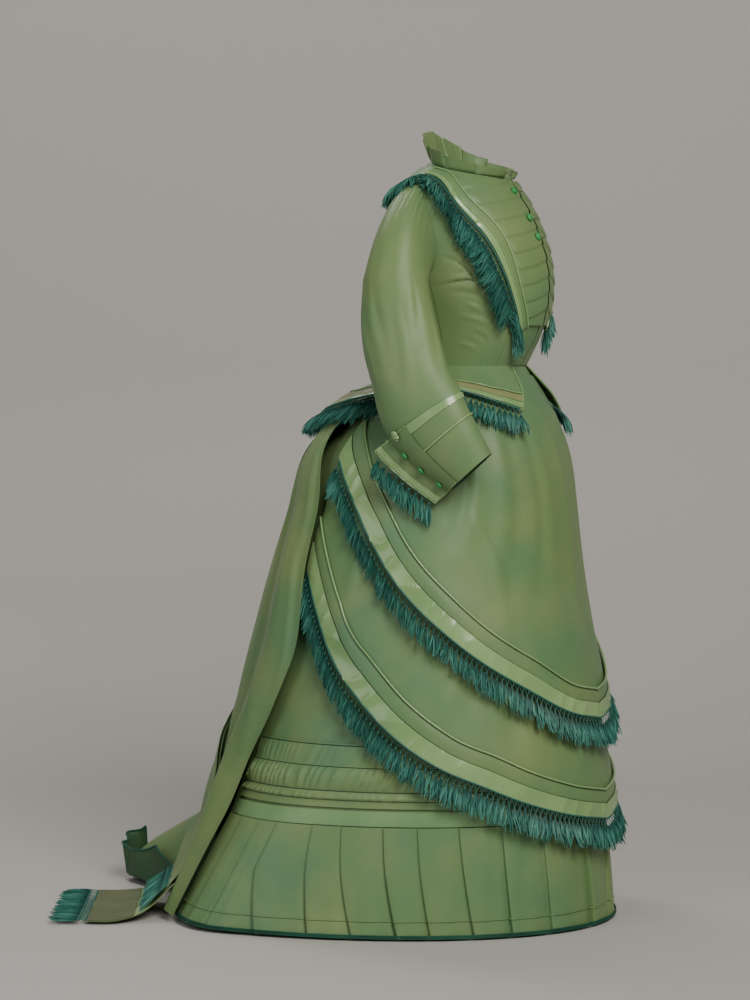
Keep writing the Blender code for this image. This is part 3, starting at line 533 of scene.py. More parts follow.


# Materials

# base is each cloth's own colour; lit and shade are painted lit and painted shaded tints of it
Silk = namedtuple("Silk", "base lit shade rough sheen weave grain")
SILKS = {
    "taffeta": Silk((0.14, 0.225, 0.08), (0.195, 0.255, 0.098), (0.088, 0.195, 0.1), 0.42, 0.1, 0.12, 0.0003),
    "lining": Silk((0.045, 0.1, 0.045), (0.062, 0.125, 0.058), (0.03, 0.08, 0.042), 0.7, 0.05, 0.1, 0.0006),
    "satin": Silk((0.215, 0.35, 0.135), (0.29, 0.43, 0.18), (0.15, 0.265, 0.1), 0.2, 0.12, 0.04, 0.00022),
    "tan": Silk((0.23, 0.24, 0.1), (0.28, 0.285, 0.13), (0.18, 0.205, 0.085), 0.4, 0.1, 0.12, 0.00035),
    "dull": Silk((0.16, 0.285, 0.12), (0.2, 0.33, 0.145), (0.13, 0.24, 0.105), 0.38, 0.08, 0.06, 0.00022),
    # a dark tint of the taffeta that paints the shade on the sash's end
    "olive": Silk((0.085, 0.105, 0.04), (0.11, 0.13, 0.052), (0.062, 0.085, 0.034), 0.5, 0.08, 0.1, 0.0003),
    "fringe": Silk((0.02, 0.112, 0.086), (0.08, 0.265, 0.2), (0.004, 0.04, 0.032), 0.55, 0.25, 0.0, 0.0004),
    "braid": Silk((0.008, 0.075, 0.042), (0.02, 0.115, 0.068), (0.004, 0.035, 0.02), 0.62, 0.1, 0.35, 0.0012),
    "button": Silk((0.028, 0.25, 0.06), (0.06, 0.33, 0.11), (0.012, 0.11, 0.03), 0.34, 0.2, 0.15, 0.0004),
    "thread": Silk((0.02, 0.045, 0.02), (0.035, 0.07, 0.032), (0.012, 0.026, 0.014), 0.6, 0.05, 0.0, 0.0003),
}


Noise = namedtuple("Noise", "scale detail low high")
CLOUDS = Noise(3.2, 3.0, 0.38, 0.72)
PATCHES = Noise(7.5, 4.0, 0.42, 0.80)
SLUBS = Noise(900.0, 2.0, 0.62, 0.80)
SLUB_STRETCH = (0.06, 1.0, 1.0)
SLUB_SHADE = 0.80
WAVE_PERIOD = 0.314  # of the wave texture at scale 1, in metres
RELIEF = 0.0004


def finish(kind):
    """The procedural material of one kind of cloth: shot colour laid as random patches of its own colour and
    its painted lit and shaded tints, weave, slubs and a silk's sheen.
    """
    found = bpy.data.materials.get("silk_" + kind)
    if found:
        return found
    silk = SILKS[kind]
    silk = silk._replace(base=tuple(getattr(bpy.context.scene.dress_silk, kind, silk.base)))
    made = bpy.data.materials.new("silk_" + kind)
    made.use_nodes = True
    tree = made.node_tree
    shader = tree.nodes["Principled BSDF"]

    def node(type_name, **values):
        new = tree.nodes.new(type_name)
        for key, value in values.items():
            setattr(new, key, value)
        return new

    def mix(factor, a, b):
        blend = node("ShaderNodeMix", data_type="RGBA")
        tree.links.new(factor, blend.inputs[0])
        for at, colour in ((6, a), (7, b)):
            if isinstance(colour, tuple):
                blend.inputs[at].default_value = (*colour, 1)
            else:
                tree.links.new(colour, blend.inputs[at])
        return blend.outputs[2]

    def spread_of(socket, low, high):
        ranger = node("ShaderNodeMapRange")
        tree.links.new(socket, ranger.inputs["Value"])
        ranger.inputs["From Min"].default_value = low
        ranger.inputs["From Max"].default_value = high
        return ranger.outputs["Result"]

    def noise(pattern, vector):
        new = node("ShaderNodeTexNoise")
        new.inputs["Scale"].default_value = pattern.scale
        new.inputs["Detail"].default_value = pattern.detail
        tree.links.new(vector, new.inputs["Vector"])
        return new.outputs["Fac"]

    where = node("ShaderNodeTexCoord")
    cloud = noise(CLOUDS, where.outputs["Object"])
    patch = noise(PATCHES, where.outputs["Object"])
    # random patches of painted shade and painted light over the cloth's own colour
    colour = mix(spread_of(cloud, CLOUDS.low, CLOUDS.high), silk.base, silk.shade)
    colour = mix(spread_of(patch, PATCHES.low, PATCHES.high), colour, silk.lit)
    if kind == "fringe":  # each thread takes its own share of the painted lit tint, and painted shade darkens it towards the root
        parts = node("ShaderNodeSeparateXYZ")
        tree.links.new(where.outputs["UV"], parts.inputs[0])
        colour = mix(spread_of(parts.outputs["X"], 0.35, 1.0), silk.base, silk.lit)
        colour = mix(spread_of(parts.outputs["Y"], 0.45, 0.0), colour, silk.shade)
        shader.inputs["Roughness"].default_value = silk.rough
    else:  # warp and weft ribs and slubs, from the UV in metres
        ribs = []
        for way in ("X", "Y"):
            wave = node("ShaderNodeTexWave", wave_type="BANDS", bands_direction=way, wave_profile="SIN")
            wave.inputs["Scale"].default_value = WAVE_PERIOD / silk.grain
            wave.inputs["Distortion"].default_value = 0.6
            wave.inputs["Detail"].default_value = 1.0
            tree.links.new(where.outputs["UV"], wave.inputs["Vector"])
            ribs.append(wave.outputs["Fac"])
        weave = node("ShaderNodeMath", operation="MULTIPLY")
        tree.links.new(ribs[0], weave.inputs[0])
        tree.links.new(ribs[1], weave.inputs[1])
        stretch = node("ShaderNodeMapping")
        stretch.inputs["Scale"].default_value = SLUB_STRETCH
        tree.links.new(where.outputs["UV"], stretch.inputs["Vector"])
        slub = noise(SLUBS, stretch.outputs["Vector"])
        darker = tuple(SLUB_SHADE * value for value in silk.base)
        colour = mix(spread_of(slub, SLUBS.low, SLUBS.high), colour, darker)
        height = node("ShaderNodeMath", operation="ADD")
        tree.links.new(weave.outputs[0], height.inputs[0])
        tree.links.new(slub, height.inputs[1])
        relief = node("ShaderNodeBump")
        relief.inputs["Strength"].default_value = silk.weave
        relief.inputs["Distance"].default_value = RELIEF
        tree.links.new(height.outputs[0], relief.inputs["Height"])
        tree.links.new(relief.outputs["Normal"], shader.inputs["Normal"])
        rough = node("ShaderNodeMapRange")
        tree.links.new(patch, rough.inputs["Value"])
        rough.inputs["To Min"].default_value = silk.rough - 0.06
        rough.inputs["To Max"].default_value = silk.rough + 0.08
        tree.links.new(rough.outputs["Result"], shader.inputs["Roughness"])
    tree.links.new(colour, shader.inputs["Base Color"])
    shader.inputs["Specular IOR Level"].default_value = 0.55 if kind == "satin" else 0.30
    shader.inputs["Sheen Weight"].default_value = silk.sheen
    shader.inputs["Sheen Roughness"].default_value = 0.35
    shader.inputs["Sheen Tint"].default_value = (*silk.lit, 1)
    return made


# Skirt

SKIRT_TUCK = -0.020  # height of the upper apron's and the drapery's top, under the basque
BAND_REACH = 125  # angle at which the skirt's bands end, under the drapery


def foundation(angle, z, out=0.0):
    """The underskirt, drawn in behind, under the drapery."""
    points = surface(SKIRT, angle, z, out)
    behind = ramp(np.abs(np.abs(angle) - 180), 50, 28)
    points[..., 1] -= 0.11 * behind * ramp(-np.asarray(z), 0.55, 0.95)
    return points


def skirt(angle, z, out=0.0):
    return surface(SKIRT, angle, z, out)


def pucker(place_in):
    """Height of gathered puckers, one in each whole step, with sharp crests."""
    return 1 - 2 * np.abs(np.sin(np.pi * place_in)) ** 0.55


def apron_out(z, layer):
    if layer == "lower":
        return 0.008 + 0.018 * ramp(-z, 0.45, 0.80)
    return 0.006 + 0.007 * ramp(-z, 0.02, 0.15) + 0.022 * ramp(-z, 0.30, 0.66)


UNDERSKIRT_FOLDS = [
    Crease(12, -0.30, 10, -0.66, 0.010, 0.0022),
    Crease(-16, -0.26, -20, -0.66, 0.012, -0.0020),
    Crease(38, -0.42, 42, -0.66, 0.009, 0.0018),
    Crease(-46, -0.36, -50, -0.66, 0.010, 0.0020),
    Crease(76, -0.54, 79, -0.66, 0.010, -0.0018),
    Crease(-84, -0.50, -80, -0.66, 0.011, 0.0020),
    Crease(104, -0.30, 108, -0.66, 0.012, 0.0018),
    Crease(-108, -0.34, -112, -0.66, 0.012, -0.0018),
]


def underskirt_at(angle, z, out):
    fold = creased(UNDERSKIRT_FOLDS, np.where(angle > 180, angle - 360, angle), z, 0.26)
    return foundation(angle, z, out + np.minimum(fold, 0.0012))


PUFF_TOP, PUFF_DEPTH = -0.676, 0.112
PUFF_STITCHES = (0.03, 0.37, 0.745, 0.885)
PUFF_ROWS = [0, 0.03, 0.06, 0.12, 0.2, 0.28, 0.34, 0.37, 0.39, 0.42, 0.46, 0.51, 0.56, 0.61, 0.66, 0.7, 0.73,
             0.745, 0.77, 0.8, 0.83, 0.86, 0.875, 0.89, 0.94, 1]
PUFF_PITCH = 0.0165
SATIN_BAND_ROWS = [-0.7930, -0.7960, -0.8050, -0.8150, -0.8195]


def puff_at(angle, down, out):
    """The gathered heading between its stitched lines: flat puckers, a puff, a ruffle and a plain edge."""
    z = PUFF_TOP - PUFF_DEPTH * down
    turn = np.radians(angle) * 0.32
    wander = 0.55 * np.sin(29 * turn) + 0.35 * np.sin(71 * turn + 1.3)
    crease = pucker(turn / PUFF_PITCH + wander + 0.30 * np.sin(5 * down + 17 * turn))
    some = 0.75 + 0.25 * np.sin(47 * turn + 2.0) * np.sin(13 * turn + 3 * down)
    flat = np.sin(np.pi * np.clip((down - 0.03) / 0.34, 0, 1))
    puff = np.sin(np.pi * np.clip((down - 0.37) / 0.375, 0, 1)) ** 0.8
    ruffle = ramp(down, 0.76, 0.86) * (1 - ramp(down, 0.865, 0.885))
    relief = crease * some * (0.0017 * flat + 0.0036 * puff + 0.0024 * ruffle)
    base = ONLAY + 0.0016 + 0.0014 * flat + 0.0070 * puff + 0.0042 * ruffle
    return skirt(angle, z, base + relief + out)


# Angles of a fold's edge at the flounce's top and at its hem
Pleat = namedtuple("Pleat", "top hem")
FLOUNCE_PLEATS = [Pleat(*edge) for edge in (
    (126, 126), (115, 109), (105, 95), (95.9, 82), (84.3, 72.3), (77.4, 64.3), (67.6, 56.0), (59.6, 49.6),
    (49.5, 40.8), (38.2, 32.3), (26.0, 21.9), (10.1, 6.9), (-7, -6), (-22, -19), (-35, -30), (-47, -39),
    (-56, -48), (-66, -55), (-75, -64), (-86, -74), (-96, -84), (-106, -97), (-116, -110), (-126, -126),
)]
FLOUNCE_COUNT = len(FLOUNCE_PLEATS) - 1
FLOUNCE_TOP = -0.8211
PLEAT_PLACES = [0.0, 0.012, 0.05, 0.55, 0.90, 0.985, 1.0]
PLEAT_HEIGHTS = [-0.10, 0.92, 1.05, 0.66, 0.18, -0.12, -0.10]
PLEAT_DEPTH = 0.0105
PLEAT_COLUMNS = [0, 0.012, 0.05, 0.3, 0.55, 0.75, 0.90, 0.985]
FLOUNCE_TUCK = 0.84
BRAID_REACH = 126
BRAID_RISES = (0.0014, 0.0038, 0.0062)
BRAID_OUT = ONLAY + 0.007 + 0.004 + ONLAY  # clear of the pleats' folds


def flounce_at(share, down, out):
    """Knife pleats: each face slopes out from its fold and steps back under the next."""
    z = FLOUNCE_TOP + (HEM - FLOUNCE_TOP) * down
    place_in = share * FLOUNCE_COUNT
    index = np.arange(FLOUNCE_COUNT + 1)
    high, low = (np.interp(place_in, index, column(FLOUNCE_PLEATS, name)) for name in ("top", "hem"))
    angle = high + (low - high) * down
    pleat = np.minimum(np.floor(place_in), FLOUNCE_COUNT - 1)
    place_in = place_in - pleat
    fold = np.interp(place_in, PLEAT_PLACES, PLEAT_HEIGHTS)
    depth = PLEAT_DEPTH * fold * (0.45 + 0.55 * down) * (0.88 + 0.12 * np.sin(2.4 * pleat)) + 0.0028 * down
    soft = 0.0016 * np.sin(2 * np.pi * share * 33 + 4 * down) * down * np.sin(np.pi * place_in)
    return skirt(angle, z, ONLAY + 0.0008 + depth + soft + out)


APRON_FOLDS = {
    "upper": [
        Crease(12, -0.06, 8, -0.55, 0.016, 0.0040),
        Crease(30, -0.07, 27, -0.47, 0.014, -0.0036),
        Crease(47, -0.08, 46, -0.42, 0.016, 0.0044),
        Crease(62, -0.10, 64, -0.36, 0.013, -0.0034),
        Crease(78, -0.06, 84, -0.27, 0.014, 0.0040),
        Crease(96, -0.05, 101, -0.19, 0.011, -0.0030),
        Crease(54, -0.26, 40, -0.50, 0.009, 0.0026),
        Crease(-10, -0.06, -13, -0.53, 0.015, 0.0036),
        Crease(-27, -0.08, -24, -0.46, 0.016, -0.0038),
        Crease(-44, -0.07, -48, -0.43, 0.014, 0.0042),
        Crease(-63, -0.10, -60, -0.34, 0.015, -0.0034),
        Crease(-80, -0.06, -84, -0.25, 0.013, 0.0038),
        Crease(-97, -0.06, -100, -0.17, 0.012, -0.0028),
    ],
    "lower": [
        Crease(18, -0.60, 12, -0.77, 0.014, 0.0032),
        Crease(44, -0.56, 38, -0.71, 0.013, -0.0030),
        Crease(66, -0.44, 60, -0.66, 0.015, 0.0036),
        Crease(88, -0.34, 82, -0.55, 0.014, -0.0032),
        Crease(104, -0.24, 100, -0.46, 0.013, 0.0034),
        Crease(-14, -0.60, -20, -0.76, 0.014, -0.0030),
        Crease(-42, -0.54, -46, -0.71, 0.015, 0.0034),
        Crease(-68, -0.44, -63, -0.64, 0.014, -0.0032),
        Crease(-90, -0.32, -86, -0.53, 0.015, 0.0036),
        Crease(-106, -0.24, -102, -0.44, 0.012, -0.0028),
    ],
}
Apron = namedtuple("Apron", "hem reach rows")
APRONS = {"lower": Apron(LOWER_HEM, 120, 48), "upper": Apron(UPPER_HEM, 118, 84)}
# Edges of the bands above an apron's hem, as widths square to it
APRON_SATIN = (0.0, 0.0275)
APRON_STRIP = (0.0285, 0.0500)
APRON_STITCHES = (0.0280, 0.0503)
APRON_PIPING = 0.0525
SATIN_PITCH, SATIN_PUCKERS = 0.031, 0.0036


def apron_top(layer, angle):
    if layer == "upper":
        return np.full_like(np.asarray(angle, float), SKIRT_TUCK)
    return edge_height(UPPER_HEM, angle) + 0.075


def apron_at(layer):
    hem_edge = APRONS[layer].hem

    def at(angle, down, out):
        top, hem = apron_top(layer, angle), edge_height(hem_edge, angle)
        z = top + (hem - top) * down
        tuck = np.clip(1 - down / 0.12, 0, 1)
        base = apron_out(z, layer) * (1 - tuck) + (ONLAY + 0.0002) * tuck
        give = ramp(down, 0.02, 0.20) * (1 - 0.80 * ramp(hem + 0.100 - z, 0, 0.05))
        fold = creased(APRON_FOLDS[layer], angle, z, 0.24) * give
        fine = crumple(skirt(angle, z), 0.060, 0.00055, 5 if layer == "upper" else 9, 1.7) * give
        return skirt(angle, z, base + fold + fine + out)

    return at


def slope_of(layer, angle):
    """How much longer a line up the cloth is than the band's width there, as the hem rises."""
    hem_edge, side = APRONS[layer].hem, np.abs(angle)
    rise = (edge_height(hem_edge, side + 1) - edge_height(hem_edge, np.maximum(side - 1, 0))) / 2
    return np.sqrt(1 + np.minimum((np.degrees(rise) / 0.26) ** 2, 2.2))


def band_at(layer, up, out, puckers=0.0):
    """A band up the apron: up gives its two edges as widths square to the hem. Its satin is eased on
    over the curve, so it lies in slanting puckers that crowd towards the back."""
    hem_edge = APRONS[layer].hem

    def at(angle, share, more):
        hem = edge_height(hem_edge, angle)
        z = hem + slope_of(layer, angle) * (up[0] + (up[1] - up[0]) * share)
        turn = np.abs(np.radians(angle)) * 0.27
        crowd = 0.55 + 0.45 * ramp(np.abs(angle), 15, 95)
        slant = turn + 0.55 * (z - hem)
        ridge = pucker(slant / SATIN_PITCH + 0.45 * np.sin(23 * turn) + 0.3 * np.sin(61 * turn + 1.0))
        some = 0.62 + 0.38 * np.sin(17 * turn + 0.8)
        relief = puckers * crowd * some * ridge * np.sin(np.pi * np.clip(share, 0.04, 0.96)) ** 0.4
        crown = 0.0012 * np.sin(np.pi * share)
        base = apron_out(hem + 0.6 * (z - hem), layer) + LAYER
        return skirt(angle, z, base + out + crown + relief + more)

    return at


def apron_line(layer, up, out):
    """A line along the apron, at a width above its hem."""
    angle = np.linspace(-APRONS[layer].reach, APRONS[layer].reach, 420)
    hem = edge_height(APRONS[layer].hem, angle)
    rise = up * slope_of(layer, angle)
    return skirt(angle, hem + rise, apron_out(hem + 0.6 * rise, layer) + LAYER + out)


# Back drapery and sash

TRAIN_REACH = 0.215
DRAPE_FLUTES = 5


def drape_base(share, z):
    front = ramp(np.abs(np.asarray(share) - 0.5), 0.25, 0.42)
    return 0.0018 + (0.0138 + 0.013 * front) * ramp(-np.asarray(z), 0.02, 0.12)


def flute_depth(z):
    return 0.004 * ramp(-np.asarray(z), 0.02, 0.06) + 0.016 * ramp(-np.asarray(z), 0.10, 0.90)


def drapery(angle, z, out=0.0):
    points = skirt(angle, z, out)
    z = np.asarray(z)
    points[..., 1] += TRAIN_REACH * bump(angle, 188, 20) * ramp(-z, 0.80, 1.00)
    points[..., 1] -= 0.050 * bump(angle, 146, 12) * ramp(-z, 0.80, 0.97)
    return points


DRAPE_FOLDS = [  # angle and height, on the drapery
    Crease(136, -0.10, 124, -0.46, 0.013, 0.0060),
    Crease(150, -0.08, 134, -0.60, 0.014, -0.0055),
    Crease(163, -0.12, 150, -0.74, 0.015, 0.0060),
    Crease(127, -0.30, 124, -0.86, 0.011, 0.0045),
    Crease(141, -0.46, 133, -0.90, 0.014, -0.0050),
    Crease(176, -0.10, 172, -0.62, 0.013, -0.0045),
    Crease(189, -0.12, 196, -0.70, 0.015, 0.0055),
    Crease(204, -0.08, 218, -0.56, 0.013, -0.0050),
    Crease(220, -0.12, 233, -0.52, 0.014, 0.0060),
    Crease(232, -0.34, 238, -0.88, 0.012, -0.0045),
    Crease(212, -0.50, 224, -0.92, 0.014, 0.0050),
    Crease(157, -0.62, 152, -0.94, 0.012, 0.0045),
    Crease(201, -0.66, 205, -0.95, 0.013, -0.0045),
]


def drape_share(angle, z):
    """Place across the drapery, from 0 at its front edge on the wearer's right to 1 at the other."""
    start = edge_angle(DRAPE_EDGE, z)
    return (angle - start) / (360 - 2 * start)


def drape_out(share, angle, z):
    """How far the drapery's cloth stands out there, with its flutes and folds."""
    flute = 0.5 - 0.5 * np.cos(2 * np.pi * DRAPE_FLUTES * (share + 0.010 * np.sin(9 * z)))
    give = ramp(-z, 0.05, 0.16) * ramp(np.minimum(share, 1 - share), 0.0, 0.03)
    fold = creased(DRAPE_FOLDS, angle, z, 0.34) * give * (0.45 + 0.55 * ramp(angle, 150, 175))
    fine = crumple(skirt(angle, z), 0.070, 0.0007, 21, 2.2) * give
    return drape_base(share, z) + flute_depth(z) * flute + fold + fine


def drape_at(share, down, out):
    """Flutes of the back drapery, with sharper folds between them and the train's arch at the floor."""
    z = SKIRT_TUCK + (HEM - 0.001 - SKIRT_TUCK) * down
    start = edge_angle(DRAPE_EDGE, z)
    angle = start + (360 - 2 * start) * share
    z = z + 0.075 * bump(angle, 163, 8) * ramp(-z, 0.88, 1.0)
    return drapery(angle, z, drape_out(share, angle, z) + out)


FloorRow = namedtuple("FloorRow", "x y z half")
TAIL_TURN = [
    FloorRow(-0.230, 0.506, -0.962, 0.092),
    FloorRow(-0.262, 0.550, -1.004, 0.112),
    FloorRow(-0.285, 0.588, -1.0125, 0.130),
    FloorRow(-0.307, 0.636, -1.0125, 0.130),
]
Tail = namedtuple("Tail", "layer turn_rows")
TAILS = {"long": Tail(0, 4), "short": Tail(1, 1)}
TAIL_COLUMNS = np.linspace(0, 1, 49)
# the end onlay is a dark band of painted shade near the sash's end; the stripe is a satin stripe
SASH_ONLAYS = (("stripe", 0.908, 0.930, "satin", "satin"), ("end", 0.934, 0.998, "taffeta", "olive"))
SASH_ONLAY_OUT = 0.0016
TAIL_HEIGHTS = np.linspace(-0.034, -0.88, 30)
TAIL_LIFT = 0.0055
ALONG_FLOOR = np.array([-0.4226, 0.9063, 0.0])
ACROSS_FLOOR = np.array([-0.9063, -0.4226, 0.0])


def tail_rows(layer, turn_rows):
    """Rows of points down a sash tail: along the drapery, then round its turn and over the floor."""
    rows, share = [], TAIL_COLUMNS
    for z in TAIL_HEIGHTS:
        centre = 182 - 23 * ramp(-z, 0.55, 0.88)
        half = 12 + 3 * ramp(-z, 0.05, 0.3)
        angle = centre + half - 2 * half * share[::-1]
        level = np.full(len(share), z)
        clear = drape_out(drape_share(angle, level), angle, level) + 0.0034 + 0.004 * ramp(-z, 0.10, 0.25)
        lift = layer * TAIL_LIFT * (0.4 + 0.6 * ramp(-z, 0.03, 0.20))
        rows.append(drapery(angle, level, clear + lift))
    lift = np.array([ALONG_FLOOR * 0.7 + np.array([0, 0, 0.7])]) * (layer * TAIL_LIFT)
    for row in TAIL_TURN[:turn_rows]:
        centre = np.array([row.x, row.y, row.z])
        line = centre + ACROSS_FLOOR * row.half * (1 - 2 * share[:, None])
        line = line + (lift if row.z > -1.01 else np.array([0, 0, layer * TAIL_LIFT]))
        line[:, 2] += 0.010 * share**2
        rows.append(line)
    return np.array(rows)


def read_line(shares, columns, line):
    """Points of a line at shares between its ends."""
    return np.stack([np.interp(shares, columns, line[:, k]) for k in range(3)], -1)


def tail_at(name):
    layer, turn_rows = TAILS[name]
    rows = tail_rows(layer, turn_rows)
    run = run_along(rows[:, len(TAIL_COLUMNS) // 2])
    run /= run[-1]

    def at(share, down, out):
        wanted = down[0]
        points = np.empty((len(share), len(wanted), 3))
        for i, s in enumerate(share[:, 0]):
            line = np.array([read_line(s, TAIL_COLUMNS, row) for row in rows])
            for k in range(3):
                points[i, :, k] = smooth_read(run, line[:, k], wanted)
        across = np.gradient(points, axis=0)
        normal = np.cross(np.gradient(points, axis=1), across)
        normal /= np.linalg.norm(normal, axis=-1, keepdims=True) + 1e-12
        if (normal[..., 1] + normal[..., 2]).mean() < 0:
            normal = -normal
        wave = 0.0022 * np.sin(2 * np.pi * share * 3 + 3 * down) * np.sin(np.pi * share) ** 0.5
        wave = wave + crumple(points, 0.050, 0.0005, 31 + layer)
        return points + normal * (wave * ramp(down, 0, 0.1) * 0.6 + out)[..., None]

    return at


def facing_at(share, down, out):
    """The train's hem turned up, so that its dark facing stands in a ruffled edge that ends in a point."""
    share, down = np.broadcast_arrays(share, down)
    angle = 162 + 30 * share
    level = np.full(share.shape, HEM + 0.002)
    rest = drape_out(drape_share(angle, level), angle, level)
    tall = ramp(share, 0.0, 0.18) * (0.052 + 0.024 * bump(share, 0.30, 0.10) + 0.034 * ramp(share, 0.55, 1.0))
    wave = 0.0060 * np.sin(2 * np.pi * share * 5 + 0.9 * np.sin(9 * share)) * down
    points = drapery(angle, level, rest + 0.0055 + 0.004 * down + wave + out)
    points[..., 2] += tall * down
    return points


def make_skirt_pieces():
    lined("underskirt", underskirt_at, np.arange(0, 360, 2.5), np.linspace(0.0, HEM, 50), closed=True,
          held="hung", rests_on=["bodice_back"])
    cloth("ruched_puff", puff_at, np.linspace(-BAND_REACH, BAND_REACH, 560), PUFF_ROWS, held="gathered",
          rests_on=["underskirt"])
    angle = np.linspace(-BAND_REACH, BAND_REACH, 300)
    stitching("puff_stitching", [puff_at(angle, down, 0.0004) for down in PUFF_STITCHES], 0.0008)
    cloth("skirt_satin_band", lambda a, z, o: skirt(a, z, ONLAY + 0.0006 + o),
          np.linspace(-BAND_REACH, BAND_REACH, 160), SATIN_BAND_ROWS, slot="satin", kinds=["dull"],
          held="laid", rests_on=["underskirt"])


def make_flounce_pieces():
    share = (np.arange(FLOUNCE_COUNT)[:, None] + PLEAT_COLUMNS).ravel()
    share = np.append(share, FLOUNCE_COUNT)
    fine = np.unique(np.concatenate([share, (share[:-1] + share[1:]) / 2])) / FLOUNCE_COUNT
    cloth("pleated_flounce", flounce_at, fine, np.linspace(0, 1, 24), held="hung", rests_on=["underskirt"])
    angle = np.linspace(BRAID_REACH, -BRAID_REACH, 300)
    lip = BRAID_OUT + 0.0002 * np.sin(angle * 9)
    lines = [skirt(angle, np.full(len(angle), HEM + rise), lip) for rise in BRAID_RISES]
    piping("hem_braid_cord", lines, 0.0014, slot="braid", nodes=("hem_braid",))
    share = np.linspace(0, 1, 700)[:, None]
    tuck = flounce_at(share, np.full_like(share, FLOUNCE_TUCK), 0.0006)[:, 0]
    piping("flounce_tuck", [tuck], 0.0013, slot="taffeta")


def make_apron_pieces():
    for layer, apron in APRONS.items():
        base = [layer + "_apron_cloth"]
        cloth(layer + "_apron", apron_at(layer), np.linspace(-apron.reach, apron.reach, 151),
              np.linspace(0, 1, apron.rows), rests_on=["underskirt"])
        cloth(layer + "_apron_satin_band", band_at(layer, APRON_SATIN, 0.0020, SATIN_PUCKERS),
              np.linspace(-apron.reach, apron.reach, 640), np.linspace(0, 1, 9), slot="satin", held="laid",
              rests_on=base)
        cloth(layer + "_apron_strip", band_at(layer, APRON_STRIP, 0.0),
              np.linspace(-apron.reach, apron.reach, 300), np.linspace(0, 1, 5), held="laid", nodes=(),
              rests_on=base)
        piping(layer + "_apron_piping", [apron_line(layer, APRON_PIPING, 0.0022)], 0.0021)
        seams = [apron_line(layer, up, 0.0008) for up in APRON_STITCHES]
        stitching(layer + "_apron_stitching", seams, 0.0006)


def make_drapery_pieces():
    lined("back_drapery", drape_at, np.linspace(0, 1, 180), np.linspace(0, 1, 84), held="draped",
          rests_on=["underskirt"])
    for name in TAILS:
        cloth("sash_tail_" + name, tail_at(name), np.linspace(0, 1, 28), np.linspace(0, 1, 90), held="hung",
              rests_on=["back_drapery_cloth"])
    long_tail = tail_at("long")
    for name, low, high, slot, kind in SASH_ONLAYS:
        cloth("sash_" + name, lambda s, d, o: long_tail(s, d, o + SASH_ONLAY_OUT),
              np.linspace(0.005, 0.995, 40), np.linspace(low, high, 9), slot=slot, kinds=[kind], nodes=(),
              held="laid", rests_on=["sash_tail_long_cloth"])
    cloth("train_facing", facing_at, np.linspace(0, 1, 150), np.linspace(0, 1, 9), kinds=["lining"], nodes=(),
          held="folded", rests_on=["back_drapery_cloth"])
    edge = facing_at(np.linspace(0, 1, 300)[:, None], np.ones((300, 1)), -0.0005)[:, 0]
    side = facing_at(np.ones((1, 40)), np.linspace(1, 0, 40)[None], -0.0005)[0]
    piping("train_braid", [edge, side], 0.0022, slot="braid")


# Bodice


def torso(angle, z, out=0.0):
    return surface(TORSO, angle, z, out)


def basque(angle, z, out=0.0):
    return surface(PEPLUM, angle, z, out)


def neckline(angle):
    return NECK_FRONT + (NECK_BACK - NECK_FRONT) * (1 - np.cos(np.radians(angle))) / 2


def side_seam(z, cut):
    s = np.clip((z - ARMHOLE_BOTTOM) / (ARMHOLE_TOP - ARMHOLE_BOTTOM), 0, 1)
    return 90 + cut * np.sin(np.pi * s) ** 0.8


def folded(angle):
    angle = np.abs(angle)
    return np.where(angle > 180, 360 - angle, angle)


BODICE_FOLDS = [
    Crease(76, 0.158, 54, 0.150, 0.005, 0.0018),
    Crease(78, 0.134, 46, 0.104, 0.006, -0.0017),
    Crease(70, 0.112, 58, 0.096, 0.004, 0.0016),
    Crease(77, 0.090, 40, 0.050, 0.005, 0.0015),
    Crease(66, 0.060, 50, 0.034, 0.005, -0.0013),
    Crease(78, 0.040, 56, 0.020, 0.004, 0.0012),
    Crease(78, 0.196, 66, 0.180, 0.005, -0.0012),
    Crease(70, 0.190, 60, 0.138, 0.0024, -0.0040),
    Crease(88, 0.141, 34, 0.139, 0.0030, -0.0032),
    Crease(112, 0.150, 138, 0.128, 0.007, 0.0014),
    Crease(110, 0.100, 134, 0.086, 0.005, -0.0014),
    Crease(108, 0.066, 136, 0.044, 0.006, 0.0013),
    Crease(118, 0.030, 150, 0.022, 0.006, 0.0010),
]


def bodice_relief(angle, z):
    """Fitting folds at the waist, dart seams and the side-back seams."""
    turn = folded(angle)
    fold = creased(BODICE_FOLDS, turn, z, 0.145) * ramp(z, 0.004, 0.03) * (1 - ramp(z, 0.20, 0.26))
    for low, high, top in ((34, 38, 0.18), (52, 44, 0.17), (146, 128, 0.24), (166, 158, 0.28)):
        seam = low + (high - low) * np.clip(z / top, 0, 1) ** 1.5
        fold = fold - 0.0012 * bump((turn - seam) * 0.0025, 0, 0.0018) * (1 - ramp(z, top - 0.02, top + 0.01))
    return fold


def bodice_at(cut_front):
    def at(share, up, out):
        level = up * (NECK_FRONT + 0.012)
        if cut_front:
            sign = cut_front
            seam = side_seam(level, -ARMHOLE_FRONT) - 0.25
            angle = 1.0 + (seam - 1.0) * share
        else:
            sign = 1.0
            seam = side_seam(level, ARMHOLE_BACK) + 0.25
            angle = seam + (360 - 2 * seam) * share
        z = up * neckline(angle)
        fine = crumple(torso(angle, z), 0.045, 0.00035, 41)
        return torso(sign * angle, z, bodice_relief(angle, z) + fine + out)

    return at


PLASTRON_OUT = ONLAY + 0.0010
PLASTRON_LOW, PLASTRON_HIGH = 0.075, NECK_FRONT - 0.012
PLASTRON_START = 1.4
PLASTRON_PLEATS = 9
PLASTRON_LAP = 0.0027


